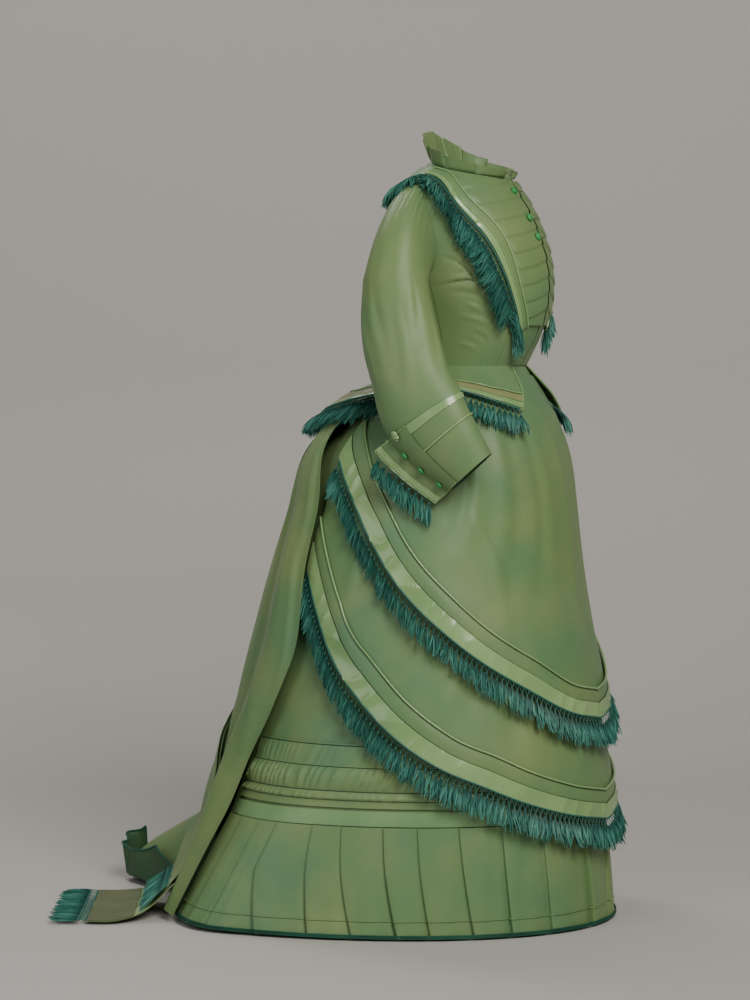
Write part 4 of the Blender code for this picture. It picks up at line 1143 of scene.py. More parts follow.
def plastron_at(sign):
    def at(share, up, out):
        z = PLASTRON_LOW + (PLASTRON_HIGH - PLASTRON_LOW) * up
        reach = edge_angle(BRETELLE_INNER[4:], z) + 0.6
        angle = PLASTRON_START + (np.minimum(reach, 62) - PLASTRON_START) * share
        place_in = (up * PLASTRON_PLEATS + 0.65 * share + 0.08 * np.sin(3 * share)) % 1.0
        lap = np.interp(place_in, [0, 0.05, 0.5, 0.93, 1.0], [0.0, 1.0, 0.70, 0.05, 0.0])
        lap = PLASTRON_LAP * lap * (1 - 0.8 * ramp(share, 0.90, 0.99)) - 0.0016 * ramp(share, 0.93, 1.0)
        return torso(sign * angle, z, PLASTRON_OUT + lap + out)

    return at


COLLAR_TABS = 5  # on each side of the neck


def collar_at(share, up, out):
    """Wide flat pleats that overlap forwards like tabs, each a step taller towards the back."""
    angle = 8 + 344 * share
    foot = torso(angle, neckline(angle) - 0.006, LAYER + 0.0002)
    away = foot - torso(angle, neckline(angle) - 0.006, 0.0)
    away[..., 2] = 0
    away /= np.linalg.norm(away, axis=-1, keepdims=True)
    side = (1 - np.abs(2 * share - 1)) * COLLAR_TABS
    tab = np.minimum(np.floor(side), COLLAR_TABS - 1)
    place_in = side - tab
    lap = np.interp(place_in, [0.0, 0.05, 0.14, 0.80, 1.0], [0.0, 0.95, 1.0, 0.30, 0.0])
    back = (1 - np.cos(np.pi * (tab + 0.45) / COLLAR_TABS)) / 2
    step = ramp(place_in, 0.0, 0.05)
    before = (1 - np.cos(np.pi * np.maximum(tab - 0.55, 0) / COLLAR_TABS)) / 2
    tall = 0.013 + 0.035 * (before + (back - before) * step) + 0.0050 * (place_in - 0.5)
    lean = (0.003 + 0.010 * back) * up + 0.0068 * lap * (0.35 + 0.65 * up) * np.clip(up * 6, 0, 1)
    points = foot + away * (lean + 0.0006 * np.sin(2 * np.pi * share * 17) * up + out)[..., None]
    points[..., 2] += tall * up
    return points


BRETELLE_OUT = LAYER + 0.0017
BRETELLE_SATIN = 0.62  # share across a revers at which its satin edge starts
BRETELLE_PIPING, BRETELLE_CORD = 0.03, 0.56
YOKE_OUT = LAYER + 0.0013


def bretelle_edge(table, place_in):
    """Angle and height of a revers's edge at a place along its table."""
    return [smooth_read(np.arange(len(table)), column(table, name), place_in) for name in Edge._fields]


def bretelle_at(sign, low, high, lift):
    """Part of a revers, from share low to high across it."""

    def at(share, along, out):
        place_in = SHOULDER + 0.02 + (len(BRETELLE_INNER) - 1 - SHOULDER - 0.02) * along
        inner, outer = bretelle_edge(BRETELLE_INNER, place_in), bretelle_edge(BRETELLE_OUTER, place_in)
        across = low + (high - low) * share
        angle = inner[0] + (outer[0] - inner[0]) * across
        z = inner[1] + (outer[1] - inner[1]) * across
        crown = 0.0007 * np.sin(np.pi * share)
        notch = -0.0011 * (bump(along, 0.30, 0.012) + bump(along, 0.52, 0.012)) * (lift > 0)
        return torso(sign * angle, z, BRETELLE_OUT + lift + crown + notch + out)

    return at


def yoke_at(share, along, out):
    place_in = (SHOULDER - 0.02) * np.abs(2 * along - 1)
    inner, outer = bretelle_edge(BRETELLE_INNER, place_in), bretelle_edge(BRETELLE_OUTER, place_in)
    angle = inner[0] + (outer[0] - inner[0]) * share
    angle = np.where(along > 0.5, 360 - angle, angle)
    z = inner[1] + (outer[1] - inner[1]) * share
    lines = -0.0008 * (bump(share, 0.35, 0.05) + bump(share, 0.68, 0.05))
    return torso(angle, z, YOKE_OUT + lines + out)


def make_bodice_pieces():
    for side, sign in SIDES.items():
        lined("bodice_front_" + side, bodice_at(sign), np.linspace(0, 1, 84), np.linspace(0, 1, 104),
              held="stretched")
        cloth("plastron_" + side, plastron_at(sign), np.linspace(0, 1, 24), np.linspace(0, 1, 118),
              held="gathered", rests_on=["bodice_front_" + side])
        cloth("bretelle_" + side, bretelle_at(sign, 0, 1, 0), np.linspace(0, 1, 14), np.linspace(0, 1, 110),
              held="laid", rests_on=["bodice_front_" + side])
        cloth("bretelle_satin_" + side, bretelle_at(sign, BRETELLE_SATIN, 1, 0.0012), np.linspace(0, 1, 6),
              np.linspace(0, 1, 160), slot="satin", held="laid", rests_on=["bretelle_" + side])
        along = np.linspace(0, 1, 180)[None]
        for name, across, radius in (("piping", BRETELLE_PIPING, 0.0019), ("cord", BRETELLE_CORD, 0.0011)):
            line = bretelle_at(sign, across, across, 0)(np.zeros_like(along), along, 0.0014)[0]
            piping(f"bretelle_{name}_{side}", [line], radius)
    lined("bodice_back", bodice_at(0), np.linspace(0, 1, 100), np.linspace(0, 1, 70), held="stretched")
    cloth("back_yoke", yoke_at, np.linspace(0, 1, 12), np.linspace(0, 1, 150), held="laid",
          rests_on=["bodice_back"])


def make_collar_pieces():
    cloth("collar_ruffle", collar_at, np.linspace(0, 1, 301), np.linspace(0, 1, 8), held="gathered",
          rests_on=["bodice_back"])


def peplum_at(angles, lean_by=0.0):
    angles = np.asarray(angles, float)

    def at(share, down, out):
        lean = lean_by * down * (1 - share) ** 2
        angle = angles[0] + (angles[-1] - angles[0]) * share + np.sign(angles[0]) * lean
        z = edge_height(PEPLUM_HEM, folded(angle)) * down
        relief = 0.0008 * np.sin(np.radians(angle) * 22) * down
        return basque(angle, z, relief + out)

    return at


PEPLUM_SATIN = (0.80, 0.925)  # shares of the way down at which each band starts and ends
PEPLUM_TAN = (0.64, 0.785)
PEPLUM_PIPING = 0.61
PEPLUMS = {"front_R": (18, 93.7, 10), "front_L": (-18, -93.7, 10), "back": (94.3, 265.7, 0)}


def make_peplum_pieces():
    for name, (start, end, lean) in PEPLUMS.items():
        base = peplum_at((start, end), lean)
        wide = 150 if name == "back" else 80
        cloth("peplum_" + name, base, np.linspace(0, 1, wide), np.linspace(0, 1, 22), held="hung",
              rests_on=["bodice_back"])

        def strip(band, lift, base=base):
            low, high = band
            return lambda share, down, out: base(
                share, low + (high - low) * down, lift + 0.0006 * np.sin(np.pi * down) + out
            )

        cloth("peplum_satin_" + name, strip(PEPLUM_SATIN, LAYER), np.linspace(0, 1, wide),
              np.linspace(0, 1, 5), slot="satin", held="laid", rests_on=["peplum_" + name])
        cloth("peplum_tan_" + name, strip(PEPLUM_TAN, 0.0016), np.linspace(0, 1, wide), np.linspace(0, 1, 4),
              slot="satin", kinds=["tan"], held="laid", nodes=(), rests_on=["peplum_" + name])
        lines = [base(np.linspace(0, 1, 200)[:, None], np.full((200, 1), PEPLUM_PIPING), 0.0022)[:, 0]]
        if name != "back":
            lines.append(base(np.zeros((1, 60)), np.linspace(0.02, 1, 60)[None], 0.0012)[0])
        piping("peplum_piping_" + name, lines, 0.0016)


# Sleeves

SLEEVE_START, SLEEVE_END = 0.29, 0.733  # shares of the arm; the sleeve's head is above the start
HEAD_RUN = 0.30  # how far the sleeve's head runs above its start, as a share of the sleeve's own rows
FOLD_RUN = 0.44  # share of the arm that the sleeve's folds are laid along
CUFF_ROWS = [0.735, 0.767, 0.844, 0.922, 1.0]
CUFF_TURNS = np.arange(0, 360, 5.0)
SLEEVE_HEAD = np.array([-0.020, 0.0, 0.020])


def armhole_ring(turn):
    height = (ARMHOLE_TOP + ARMHOLE_BOTTOM) / 2 - np.sin(turn) * (ARMHOLE_TOP - ARMHOLE_BOTTOM) / 2 * 1.02
    forward = np.cos(turn)
    angle = 90 + np.where(forward > 0, (ARMHOLE_BACK + 1) * forward, (ARMHOLE_FRONT + 1) * forward)
    return torso(angle, height, ONLAY)


def sleeve_rings(arm, turns, out, lengths):
    centres = np.array([[row.x, row.y, row.z] for row in arm])
    index = np.arange(len(arm))
    place_in = np.asarray(lengths) * (len(arm) - 1)
    centre = np.stack([smooth_read(index, centres[:, k], place_in) for k in range(3)], -1)
    ahead = np.stack([smooth_read(index, centres[:, k], place_in + 0.1) for k in range(3)], -1)
    behind = np.stack([smooth_read(index, centres[:, k], place_in - 0.1) for k in range(3)], -1)
    along = ahead - behind
    along[place_in < 0.5] += np.array([-0.012, 0, 0])
    along /= np.linalg.norm(along, axis=1, keepdims=True)
    fore = np.array([0, 1.0, 0]) - along * along[:, 1:2]
    fore /= np.linalg.norm(fore, axis=1, keepdims=True)
    inward = np.cross(along, fore)
    half_width = smooth_read(index, column(arm, "half_width"), place_in) + out
    half_thick = smooth_read(index, column(arm, "half_thick"), place_in) + out
    reach_fore = np.cos(turns)[:, None, None] * (fore * half_width[:, None])[None]
    reach_in = np.sin(turns)[:, None, None] * (inward * half_thick[:, None])[None]
    return centre[None] + reach_fore + reach_in


SLEEVE_FOLDS = [  # turn round the sleeve in degrees, and share of its length
    Crease(-24, 0.34, -48, 0.60, 0.040, 0.0018),
    Crease(-62, 0.30, -84, 0.56, 0.046, -0.0016),
    Crease(-110, 0.36, -88, 0.70, 0.042, 0.0020),
    Crease(-146, 0.32, -120, 0.54, 0.040, -0.0016),
    Crease(-176, 0.42, -150, 0.68, 0.042, 0.0018),
    Crease(10, 0.50, -20, 0.68, 0.030, -0.0022),
    Crease(4, 0.56, -34, 0.72, 0.026, 0.0020),
    Crease(80, 0.40, 92, 0.68, 0.050, 0.0018),
]


def sleeve_at(arm, mirror):
    """A sleeve panel; down runs from the armhole's seam at -HEAD_RUN to the cuff's seam at 1."""

    def at(turn, down, out):
        turns = np.radians(turn[:, 0])
        places = down[0]
        lengths = SLEEVE_START + (SLEEVE_END - SLEEVE_START) * np.clip(places, 0, 1)
        rings = sleeve_rings(arm, turns, 0.0, lengths)
        start = armhole_ring(turns)
        first = sleeve_rings(arm, turns, 0.0, [SLEEVE_START])[:, 0]
        for k, place_in in enumerate(places):
            if place_in < 0:
                share = 1 + place_in / HEAD_RUN
                crown = SLEEVE_HEAD * np.maximum(-np.sin(turns), 0)[:, None] * 4 * share * (1 - share)
                rings[:, k] = start * (1 - share) + first * share + crown
        across = np.gradient(rings, axis=0)
        normal = np.cross(np.gradient(rings, axis=1), across)
        normal /= np.linalg.norm(normal, axis=-1, keepdims=True) + 1e-12
        middle = rings.mean(axis=0, keepdims=True)
        if (normal * (rings - middle)).sum() < 0:
            normal = -normal
        way = (turn + 180) % 360 - 180
        relief = creased(SLEEVE_FOLDS, way, np.broadcast_to(SLEEVE_START + FOLD_RUN * down, turn.shape), 0.35)
        on_top = np.maximum(-np.sin(np.radians(turn)), 0)
        head = 0.0011 * np.sin(np.radians(turn) * 26) * bump(down, -0.28, 0.13) * on_top
        give = ramp(down, -0.27, -0.10) * (1 - ramp(down, 0.90, 1.0))
        height = relief * give + head + crumple(rings, 0.05, 0.0006, 51) * give + out
        points = rings + normal * height[..., None]
        points[..., 0] *= mirror
        return points

    return at


def cuff_at(arm, mirror, base):
    def at(turn, length, out):
        turns, places = np.radians(turn[:, 0]), length[0]
        rings = sleeve_rings(arm, turns, base, places)
        middle = sleeve_rings(arm, np.radians([0.0, 180.0]), 0.0, places).mean(axis=0)[None]
        away = rings - middle
        away /= np.linalg.norm(away, axis=-1, keepdims=True)
        points = rings + away * (out + crumple(rings, 0.05, 0.0003, 61))[..., None]
        points[..., 0] *= mirror
        return points

    return at


LAPEL_FLAP = (0.034, 0.017)
LAPEL_OUT = 2 * LAYER
LAPEL_ROWS = np.linspace(0, 1, 40)
RIBBON_COLUMNS = slice(1, 6)  # the columns of the lapel's grid that its satin ribbon covers


def lapel_grid(arm):
    lengths = np.linspace(CUFF_ROWS[0] + 0.002, CUFF_ROWS[-1] - 0.004, len(LAPEL_ROWS))
    face = sleeve_rings(arm, np.radians(np.linspace(-24, -72, 14)), LAPEL_OUT, lengths)
    rim = np.radians([0.0])
    back = (sleeve_rings(arm, rim, 1.0, lengths) - sleeve_rings(arm, rim, 0.0, lengths))[0]
    back /= np.linalg.norm(back, axis=1, keepdims=True)
    flap = [face[0] + back * reach for reach in np.linspace(LAPEL_FLAP[0], 0.0, 12)[:-1]]
    return np.concatenate([flap, face]), back


def make_lapel(side, arm, mirror):
    outer, _ = lapel_grid(arm)
    outer[..., 0] *= mirror
    normal = np.cross(np.gradient(outer, axis=1), np.gradient(outer, axis=0))
    normal /= np.linalg.norm(normal, axis=-1, keepdims=True)
    if (normal[..., 0] * -mirror).mean() < 0:
        normal = -normal
    sheet("cuff_lapel_" + side, outer, outer - normal * CLOTH, "taffeta", ["taffeta"],
          ("cuff_lapel_" + side,), "laid", ["cuff_" + side])
    crinkle = np.sin(np.linspace(0, 38, len(LAPEL_ROWS)) + 0.7 * np.sin(np.linspace(0, 13, len(LAPEL_ROWS))))
    up = normal[RIBBON_COLUMNS]
    ribbon = outer[RIBBON_COLUMNS] + up * (0.0022 + 0.0008 * crinkle)[None, :, None]
    sheet("cuff_ribbon_" + side, ribbon, ribbon - up * CLOTH, "satin", ["satin"], (), "laid",
          [f"cuff_lapel_{side}_cloth"])
    raised = outer + normal * 0.0006
    piping("cuff_lapel_piping_" + side, [raised[0], raised[:, 0], raised[:, -1]], 0.0013)


def make_sleeve_pieces():
    down = np.concatenate([np.linspace(-HEAD_RUN, 0, 12)[:-1], np.linspace(0, 1, 50)])
    for side, (arm, mirror) in ARMS.items():
        for part, start, end, count in (("upper", 30, -210, 84), ("under", 149.1, 30.9, 36)):
            lined(f"sleeve_{part}_{side}", sleeve_at(arm, mirror), np.linspace(start, end, count), down,
                  held="stretched")
        lined("cuff_" + side, cuff_at(arm, mirror, 0.0), CUFF_TURNS,
              np.linspace(CUFF_ROWS[0], CUFF_ROWS[-1], 26), closed=True, held="stretched")
        cloth("cuff_satin_band_" + side, cuff_at(arm, mirror, LAYER), CUFF_TURNS,
              np.linspace(CUFF_ROWS[0], CUFF_ROWS[1], 6), slot="satin", closed=True, held="laid",
              rests_on=["cuff_" + side])
        line = cuff_at(arm, mirror, 0.0017)(CUFF_TURNS[:, None], np.array([[CUFF_ROWS[2]]]), 0.0)[:, 0]
        piping("cuff_piping_" + side, [line], 0.0019, closed=True)
        make_lapel(side, arm, mirror)


# Fringes


APRON_DROP, BRETELLE_DROP, YOKE_DROP = 0.056, 0.044, 0.046
PEPLUM_DROP, CUFF_DROP, SASH_DROP = 0.050, 0.045, 0.067
CUFF_PITCH = 0.0135
SASH_TASSELS = 24
REVERS_FAN = 15.0  # degrees by which the widest tassels of a revers lean outwards


def apron_tassels(pitch):
    for seed, (layer, apron) in enumerate(APRONS.items()):
        angle = even(lambda at: skirt(at, edge_height(apron.hem, at), 0.03), 0.5 - apron.reach,
                     apron.reach - 0.5, pitch)
        z = edge_height(apron.hem, angle)
        out = apron_out(z, layer) + LAYER + 0.0012
        body_fringe(layer + "_apron_tassels", layer + "_apron_fringe", skirt, angle, z + 0.001, out,
                    APRON_DROP, 0.006, seed + 1)


def revers_tassels(pitch):
    def edge(place_in):
        return bretelle_edge(BRETELLE_OUTER, place_in)

    for seed, (side, sign) in enumerate(SIDES.items()):
        places = even(lambda at: torso(*edge(at)), SHOULDER + 0.1, len(BRETELLE_OUTER) - 1 - 0.05,
                      0.9 * pitch)
        angle, z = edge(places)
        body_fringe("bretelle_tassels_" + side, "bretelle_fringe_" + side, torso, sign * (angle + 1.0),
                    z - 0.003, BRETELLE_OUT + 0.0020, BRETELLE_DROP, 0.012, seed + 5, heading=0.007,
                    over_sleeve=1.0, fan=sign * REVERS_FAN * bump(z, 0.20, 0.12), strands=26, spread_by=1.55)
    angle, z = edge(even(lambda at: torso(*edge(at)), 0.0, SHOULDER - 0.15, 0.9 * pitch))
    angle, z = np.concatenate([angle[::-1], 360 - angle]), np.concatenate([z[::-1], z])
    out = np.full(len(z), YOKE_OUT + 0.0020)
    body_fringe("back_yoke_tassels", "back_yoke_fringe", torso, angle, z - 0.003, out, YOKE_DROP, 0.009, 8,
                heading=0.008, over_sleeve=1.0, strands=24, spread_by=1.45)


def peplum_tassels(pitch):
    for seed, (name, (start, end, lean)) in enumerate(PEPLUMS.items()):
        base = peplum_at((start, end), lean)
        share = even(lambda at: base(at[:, None], np.ones((len(at), 1)), 0.0)[:, 0], 0.01, 0.99, 0.95 * pitch)
        angle = start + (end - start) * share + np.sign(start) * lean * (1 - share) ** 2
        body_fringe("peplum_tassels_" + name, "peplum_fringe_" + name, basque, angle,
                    edge_height(PEPLUM_HEM, folded(angle)) + 0.001, np.full(len(angle), LAYER + 0.0014),
                    PEPLUM_DROP, 0.005, seed + 11)


def cuff_tassels():
    for seed, (side, (arm, mirror)) in enumerate(ARMS.items()):
        grid, back = lapel_grid(arm)
        at = even(lambda share: read_line(share, LAPEL_ROWS, grid[0]), 0.03, 0.97, CUFF_PITCH)
        line, out = read_line(at, LAPEL_ROWS, grid[0]), read_line(at, LAPEL_ROWS, back)
        line[:, 0] *= mirror
        out[:, 0] *= mirror
        top = line + out * 0.0008
        side_way = np.array([-1.0 * mirror, 0, 0])

        def hang(share, top=top, out=out, side_way=side_way):
            run = out * 0.5 * 0.007 + side_way * 0.012 * share
            return top + run * min(1.0, share * 4) - np.array([0, 0, CUFF_DROP]) * share

        fringe("cuff_tassels_" + side, top, hang, direction(top), "cuff_fringe_" + side, CUFF_DROP, 0.006,
               seed + 15, strands=30, spread_by=1.25)


def sash_tassels():
    for seed, (name, (layer, turn_rows)) in enumerate(TAILS.items()):
        rows = tail_rows(layer, turn_rows)
        onward = ALONG_FLOOR
        if turn_rows < len(TAIL_TURN):
            onward = np.array(TAIL_TURN[turn_rows][:3]) - np.array(TAIL_TURN[turn_rows - 1][:3])
            onward = onward / np.linalg.norm(onward)
        top = read_line(np.linspace(0.02, 0.98, SASH_TASSELS), TAIL_COLUMNS, rows[-1])

        def hang(part, top=top, onward=onward):
            point = top + onward * SASH_DROP * part
            point[:, 2] = np.maximum(point[:, 2] + 0.0012, FLOOR + 0.0042)
            return point

        fringe("sash_tassels_" + name, top, hang, direction(top), "sash_fringe_" + name, SASH_DROP, 0.012,
               seed + 21, strands=10, flat=0.45)


def make_fringes():
    pitch = bpy.context.scene.dress_fringe.pitch
    apron_tassels(pitch)
    revers_tassels(pitch)
    peplum_tassels(pitch)
    cuff_tassels()
    sash_tassels()


# Buttons and small trim


BUTTON_RADIUS, BUTTON_HEIGHT = 0.0074, 0.0066
KNOT_RADIUS, KNOT_HEIGHT = 0.0095, 0.0075
FRONT_BUTTONS = ((8, 0.35), (6, 0.70), (5, 0.50))  # the pleat that each sits on, and how far up it
CUFF_BUTTON_TURN = -36.0
CUFF_KNOTS = ((-8.0, 0.742), (-50.0, 0.742))  # turn round the sleeve and share of the arm


def dome(shape, seat, normal, radius, height, turns=20, pleats=0, depth=0.0):
    """A covered button or a gathered knot: a rounded cap on its seat, with a rim that turns under."""
    normal = np.asarray(normal, float) / np.linalg.norm(normal)
    side = np.cross(normal, [0.2, 0.3, 0.93])
    side /= np.linalg.norm(side)
    over = np.cross(normal, side)
    rise = np.array([0.0, 0.15, 0.42, 0.68, 0.86, 0.96, 1.0])
    reach = np.array([0.80, 1.0, 0.98, 0.84, 0.58, 0.28, 0.02])
    turn = np.arange(turns) * 2 * np.pi / turns
    wave = 1 + depth * np.cos(pleats * turn)[:, None] * np.sin(np.pi * np.clip(rise, 0.05, 1))[None]
    ring = radius * reach[None] * wave
    spoke = np.cos(turn)[:, None, None] * side + np.sin(turn)[:, None, None] * over
    points = seat + ring[..., None] * spoke + normal * (height * rise)[None, :, None]
    shape.grid(points, closed=True)


def on_sleeve(arm, mirror, turn, length, lift=0.0):
    """A place on the cuff's lapel, and the way straight out of it."""
    seat = sleeve_rings(arm, np.radians([turn]), LAPEL_OUT + lift, [length])[0, 0]
    away = sleeve_rings(arm, np.radians([turn]), 0.03, [length])[0, 0] - seat
    flip = np.array([mirror, 1, 1])
    return seat * flip, away * flip


def make_buttons():
    shape, marks = Shape(), []
    for pleat, up in FRONT_BUTTONS:
        rise = (pleat + 0.9 * up) / PLASTRON_PLEATS
        z = PLASTRON_LOW + (PLASTRON_HIGH - PLASTRON_LOW) * rise
        reach = edge_angle(BRETELLE_INNER[4:], z) - 2.5
        angle = PLASTRON_START + (min(float(reach), 60) - PLASTRON_START) * 0.133
        seat = torso(angle, z, PLASTRON_OUT + 0.0018)
        dome(shape, seat, torso(angle, z, 0.02) - torso(angle, z, 0.0), BUTTON_RADIUS, BUTTON_HEIGHT)
        marks.append(torso(-1.6 - np.linspace(0, 5, 6), np.full(6, z), PLASTRON_OUT + 0.0030))
    place(shape.make("front_buttons", ["button"]), "button", tuple(f"front_button_{n}" for n in (1, 2, 3)))
    stitching("front_buttonholes", marks, 0.0006)
    for side, (arm, mirror) in ARMS.items():
        shape, knots = Shape(), Shape()
        lengths = [CUFF_ROWS[0] + 0.002, *CUFF_ROWS[1:-1], CUFF_ROWS[-1] - 0.004]
        for row in (1, 2, 3):
            middle = (lengths[row] + lengths[row + 1]) / 2
            seat, away = on_sleeve(arm, mirror, CUFF_BUTTON_TURN, middle, 0.0002)
            dome(shape, seat, away, BUTTON_RADIUS, BUTTON_HEIGHT)
        for turn, length in CUFF_KNOTS:
            dome(knots, *on_sleeve(arm, mirror, turn, length), KNOT_RADIUS, KNOT_HEIGHT, turns=48, pleats=8,
                 depth=0.16)
        place(shape.make("cuff_buttons_" + side, ["button"]), "button",
              tuple(f"cuff_button_{side}_{row}" for row in (1, 2, 3)))
        place(knots.make("cuff_knots_" + side, ["satin"]), "satin")


# Stage


FLOOR_REACH = 9.0
# How far behind the dress, and how high, the sweep of paper runs
SWEEP = [(-FLOOR_REACH, FLOOR), (1.6, FLOOR), (2.1, FLOOR + 0.08), (2.45, FLOOR + 0.40), (2.6, FLOOR + 1.0),
         (2.6, 4.0)]
AWAY_FROM_CAMERA = np.array([0.9063, 0.4226, 0.0])
ACROSS_VIEW = np.array([-0.4226, 0.9063, 0.0])
PAPER, PAPER_ROUGHNESS = (0.46, 0.44, 0.41, 1), 0.62
AMBIENT_COLOUR = (0.80, 0.83, 0.86, 1)
LIGHTS_AIM = Vector((0, 0.1, -0.3))
Light = namedtuple("Light", "name place size share colour")  # its power is a share of the key light's
LIGHTS = [
    Light("key", (-3.4, -3.2, 2.9), 2.4, 1.0, (1.0, 0.97, 0.92)),
    Light("fill", (-4.2, 1.6, 1.2), 3.0, 0.17, (0.93, 0.97, 1.0)),
    Light("rim", (1.6, 2.6, 3.0), 1.8, 0.30, (1.0, 0.98, 0.95)),
]
CAMERA_PLACE = Vector((-5.054, -2.162, 0.009))
CAMERA_AIM = Vector((-0.075, 0.160, -0.25))
CAMERA_LENS = 106.45


def stand(name, data, place_in, aim):
    """Put a lamp or a camera in its place and turn it to its aim."""
    made = bpy.data.objects.new(name, data)
    made.location = place_in
    made.rotation_euler = (aim - Vector(place_in)).to_track_quat("-Z", "Y").to_euler()
    bpy.context.scene.collection.objects.link(made)
    return made


def make_floor():
    mesh = bpy.data.meshes.new("floor")
    points = [tuple(AWAY_FROM_CAMERA * reach + ACROSS_VIEW * half + np.array([0, 0, height]))
              for reach, height in SWEEP for half in (-FLOOR_REACH, FLOOR_REACH)]
    mesh.from_pydata(points, [], [(2 * i, 2 * i + 1, 2 * i + 3, 2 * i + 2) for i in range(len(SWEEP) - 1)])
    mesh.shade_smooth()
    floor = bpy.data.objects.new("floor", mesh)
    bpy.context.scene.collection.objects.link(floor)
    made = bpy.data.materials.new("floor_paint")
    made.use_nodes = True
    shader = made.node_tree.nodes["Principled BSDF"]
    shader.inputs["Base Color"].default_value = PAPER
    shader.inputs["Roughness"].default_value = PAPER_ROUGHNESS
    mesh.materials.append(made)


def make_stage():
    settings = bpy.context.scene.dress_stage
    make_floor()
    for light in LIGHTS:
        data = bpy.data.lights.new(light.name, "AREA")
        data.size, data.energy, data.color = light.size, settings.key * light.share, light.colour
        stand(light.name, data, light.place, LIGHTS_AIM)
    world = bpy.data.worlds.new("studio")
    world.use_nodes = True
    background = world.node_tree.nodes["Background"]
    background.inputs["Color"].default_value = AMBIENT_COLOUR
    background.inputs["Strength"].default_value = settings.ambient
    bpy.context.scene.world = world
    data = bpy.data.cameras.new("camera")
    data.lens = CAMERA_LENS
    bpy.context.scene.camera = stand("camera", data, CAMERA_PLACE, CAMERA_AIM)


# Add-on


class DressFringeSettings(bpy.types.PropertyGroup):
    pitch: bpy.props.FloatProperty(
        name="Tassel pitch", description="Distance between two tassels of the fringe", default=0.0108,
        min=0.006, unit="LENGTH"
    )


class DressSilkSettings(bpy.types.PropertyGroup):
    taffeta: bpy.props.FloatVectorProperty(
        name="Taffeta", description="Main colour of the dress's shot silk", default=SILKS["taffeta"].base,
        min=0.0, max=1.0, subtype="COLOR"
    )
    satin: bpy.props.FloatVectorProperty(
        name="Satin", description="Main colour of the bright bands and piping", default=SILKS["satin"].base,
        min=0.0, max=1.0, subtype="COLOR"
    )
    fringe: bpy.props.FloatVectorProperty(
        name="Fringe", description="Main colour of the tassels and their headings",
        default=SILKS["fringe"].base, min=0.0, max=1.0, subtype="COLOR"
    )
    braid: bpy.props.FloatVectorProperty(
        name="Braid", description="Main colour of the hem's and the train's braid",
        default=SILKS["braid"].base, min=0.0, max=1.0, subtype="COLOR"
    )
    button: bpy.props.FloatVectorProperty(
        name="Buttons", description="Main colour of the covered buttons", default=SILKS["button"].base,
        min=0.0, max=1.0, subtype="COLOR"
    )


class DressStageSettings(bpy.types.PropertyGroup):
    key: bpy.props.FloatProperty(
        name="Key light", description="Power of the large soft light on the dress's front", default=300.0,
        unit="POWER"
    )
    ambient: bpy.props.FloatProperty(
        name="Ambient light", description="Strength of the even light from all round", default=0.15,
        subtype="FACTOR"
    )


class DRESS_OT_stage(bpy.types.Operator):
    """Make the floor, the lights and the camera"""

    bl_idname = "dress.stage"
    bl_label = "Stage"

    def execute(self, context):
        make_stage()
        return {"FINISHED"}


class DRESS_OT_skirt(bpy.types.Operator):
    """Make the underskirt, the gathered puff and its satin band"""

    bl_idname = "dress.skirt"
    bl_label = "Underskirt and puff"

    def execute(self, context):
        make_skirt_pieces()
        return {"FINISHED"}


class DRESS_OT_flounce(bpy.types.Operator):
    """Make the knife-pleated flounce and the hem braid"""

    bl_idname = "dress.flounce"
    bl_label = "Pleated flounce"

    def execute(self, context):
        make_flounce_pieces()
        return {"FINISHED"}


class DRESS_OT_aprons(bpy.types.Operator):
    """Make both aprons with their satin bands and piping"""

    bl_idname = "dress.aprons"
    bl_label = "Aprons"

    def execute(self, context):
        make_apron_pieces()
        return {"FINISHED"}


class DRESS_OT_drapery(bpy.types.Operator):
    """Make the trained back drapery and the sash tails"""

    bl_idname = "dress.drapery"
    bl_label = "Back drapery and sash"

    def execute(self, context):
        make_drapery_pieces()
        return {"FINISHED"}


class DRESS_OT_bodice(bpy.types.Operator):
    """Make the bodice, the pleated fronts, the revers and the yoke"""

    bl_idname = "dress.bodice"
    bl_label = "Bodice and revers"

    def execute(self, context):
        make_bodice_pieces()
        return {"FINISHED"}


class DRESS_OT_collar(bpy.types.Operator):
    """Make the standing ruffle"""

    bl_idname = "dress.collar"
    bl_label = "Collar"

    def execute(self, context):
        make_collar_pieces()
        return {"FINISHED"}


class DRESS_OT_basque(bpy.types.Operator):
    """Make the basque panels and their bands"""

    bl_idname = "dress.basque"
    bl_label = "Basque"

    def execute(self, context):
        make_peplum_pieces()
        return {"FINISHED"}


class DRESS_OT_sleeves(bpy.types.Operator):
    """Make the sleeves, cuffs and lapels"""

    bl_idname = "dress.sleeves"
    bl_label = "Sleeves and cuffs"

    def execute(self, context):
        make_sleeve_pieces()
        return {"FINISHED"}


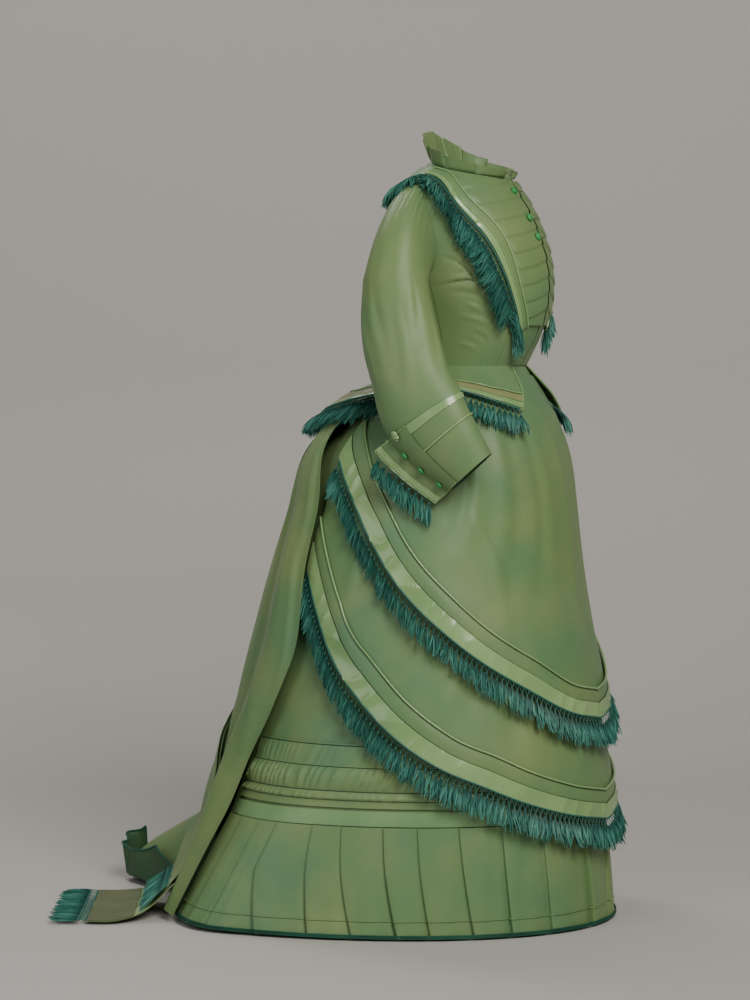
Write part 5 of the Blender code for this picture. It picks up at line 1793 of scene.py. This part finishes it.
class DRESS_OT_fringes(bpy.types.Operator):
    """Make all the tassel fringes"""

    bl_idname = "dress.fringes"
    bl_label = "Fringes"

    def execute(self, context):
        make_fringes()
        return {"FINISHED"}


class DRESS_OT_buttons(bpy.types.Operator):
    """Make the covered buttons and the satin knots"""

    bl_idname = "dress.buttons"
    bl_label = "Buttons and knots"

    def execute(self, context):
        make_buttons()
        return {"FINISHED"}


STEPS = [
    DRESS_OT_stage,
    DRESS_OT_skirt,
    DRESS_OT_flounce,
    DRESS_OT_aprons,
    DRESS_OT_drapery,
    DRESS_OT_bodice,
    DRESS_OT_collar,
    DRESS_OT_basque,
    DRESS_OT_sleeves,
    DRESS_OT_fringes,
    DRESS_OT_buttons,
]


class DRESS_PT_sidebar(bpy.types.Panel):
    """The dress's pieces, in the order they are made"""

    bl_idname = "DRESS_PT_sidebar"
    bl_label = "Victorian bustle dress"
    bl_space_type = "VIEW_3D"
    bl_region_type = "UI"
    bl_category = "Dress"

    def draw(self, context):
        for step in STEPS:
            self.layout.operator(step.bl_idname)
        self.layout.prop(context.scene.dress_fringe, "pitch")
        for silk in ("taffeta", "satin", "fringe", "braid", "button"):
            self.layout.prop(context.scene.dress_silk, silk)
        self.layout.prop(context.scene.dress_stage, "key")
        self.layout.prop(context.scene.dress_stage, "ambient")


CLASSES = [DressFringeSettings, DressSilkSettings, DressStageSettings, *STEPS, DRESS_PT_sidebar]


def register():
    for kind in CLASSES:
        bpy.utils.register_class(kind)
    bpy.types.Scene.dress_fringe = bpy.props.PointerProperty(type=DressFringeSettings)
    bpy.types.Scene.dress_silk = bpy.props.PointerProperty(type=DressSilkSettings)
    bpy.types.Scene.dress_stage = bpy.props.PointerProperty(type=DressStageSettings)


def unregister():
    del bpy.types.Scene.dress_stage
    del bpy.types.Scene.dress_silk
    del bpy.types.Scene.dress_fringe
    for kind in reversed(CLASSES):
        bpy.utils.unregister_class(kind)


def main():
    register()
    for step in STEPS:
        group, word = step.bl_idname.split(".")
        getattr(getattr(bpy.ops, group), word)()


if __name__ == "__main__":
    main()
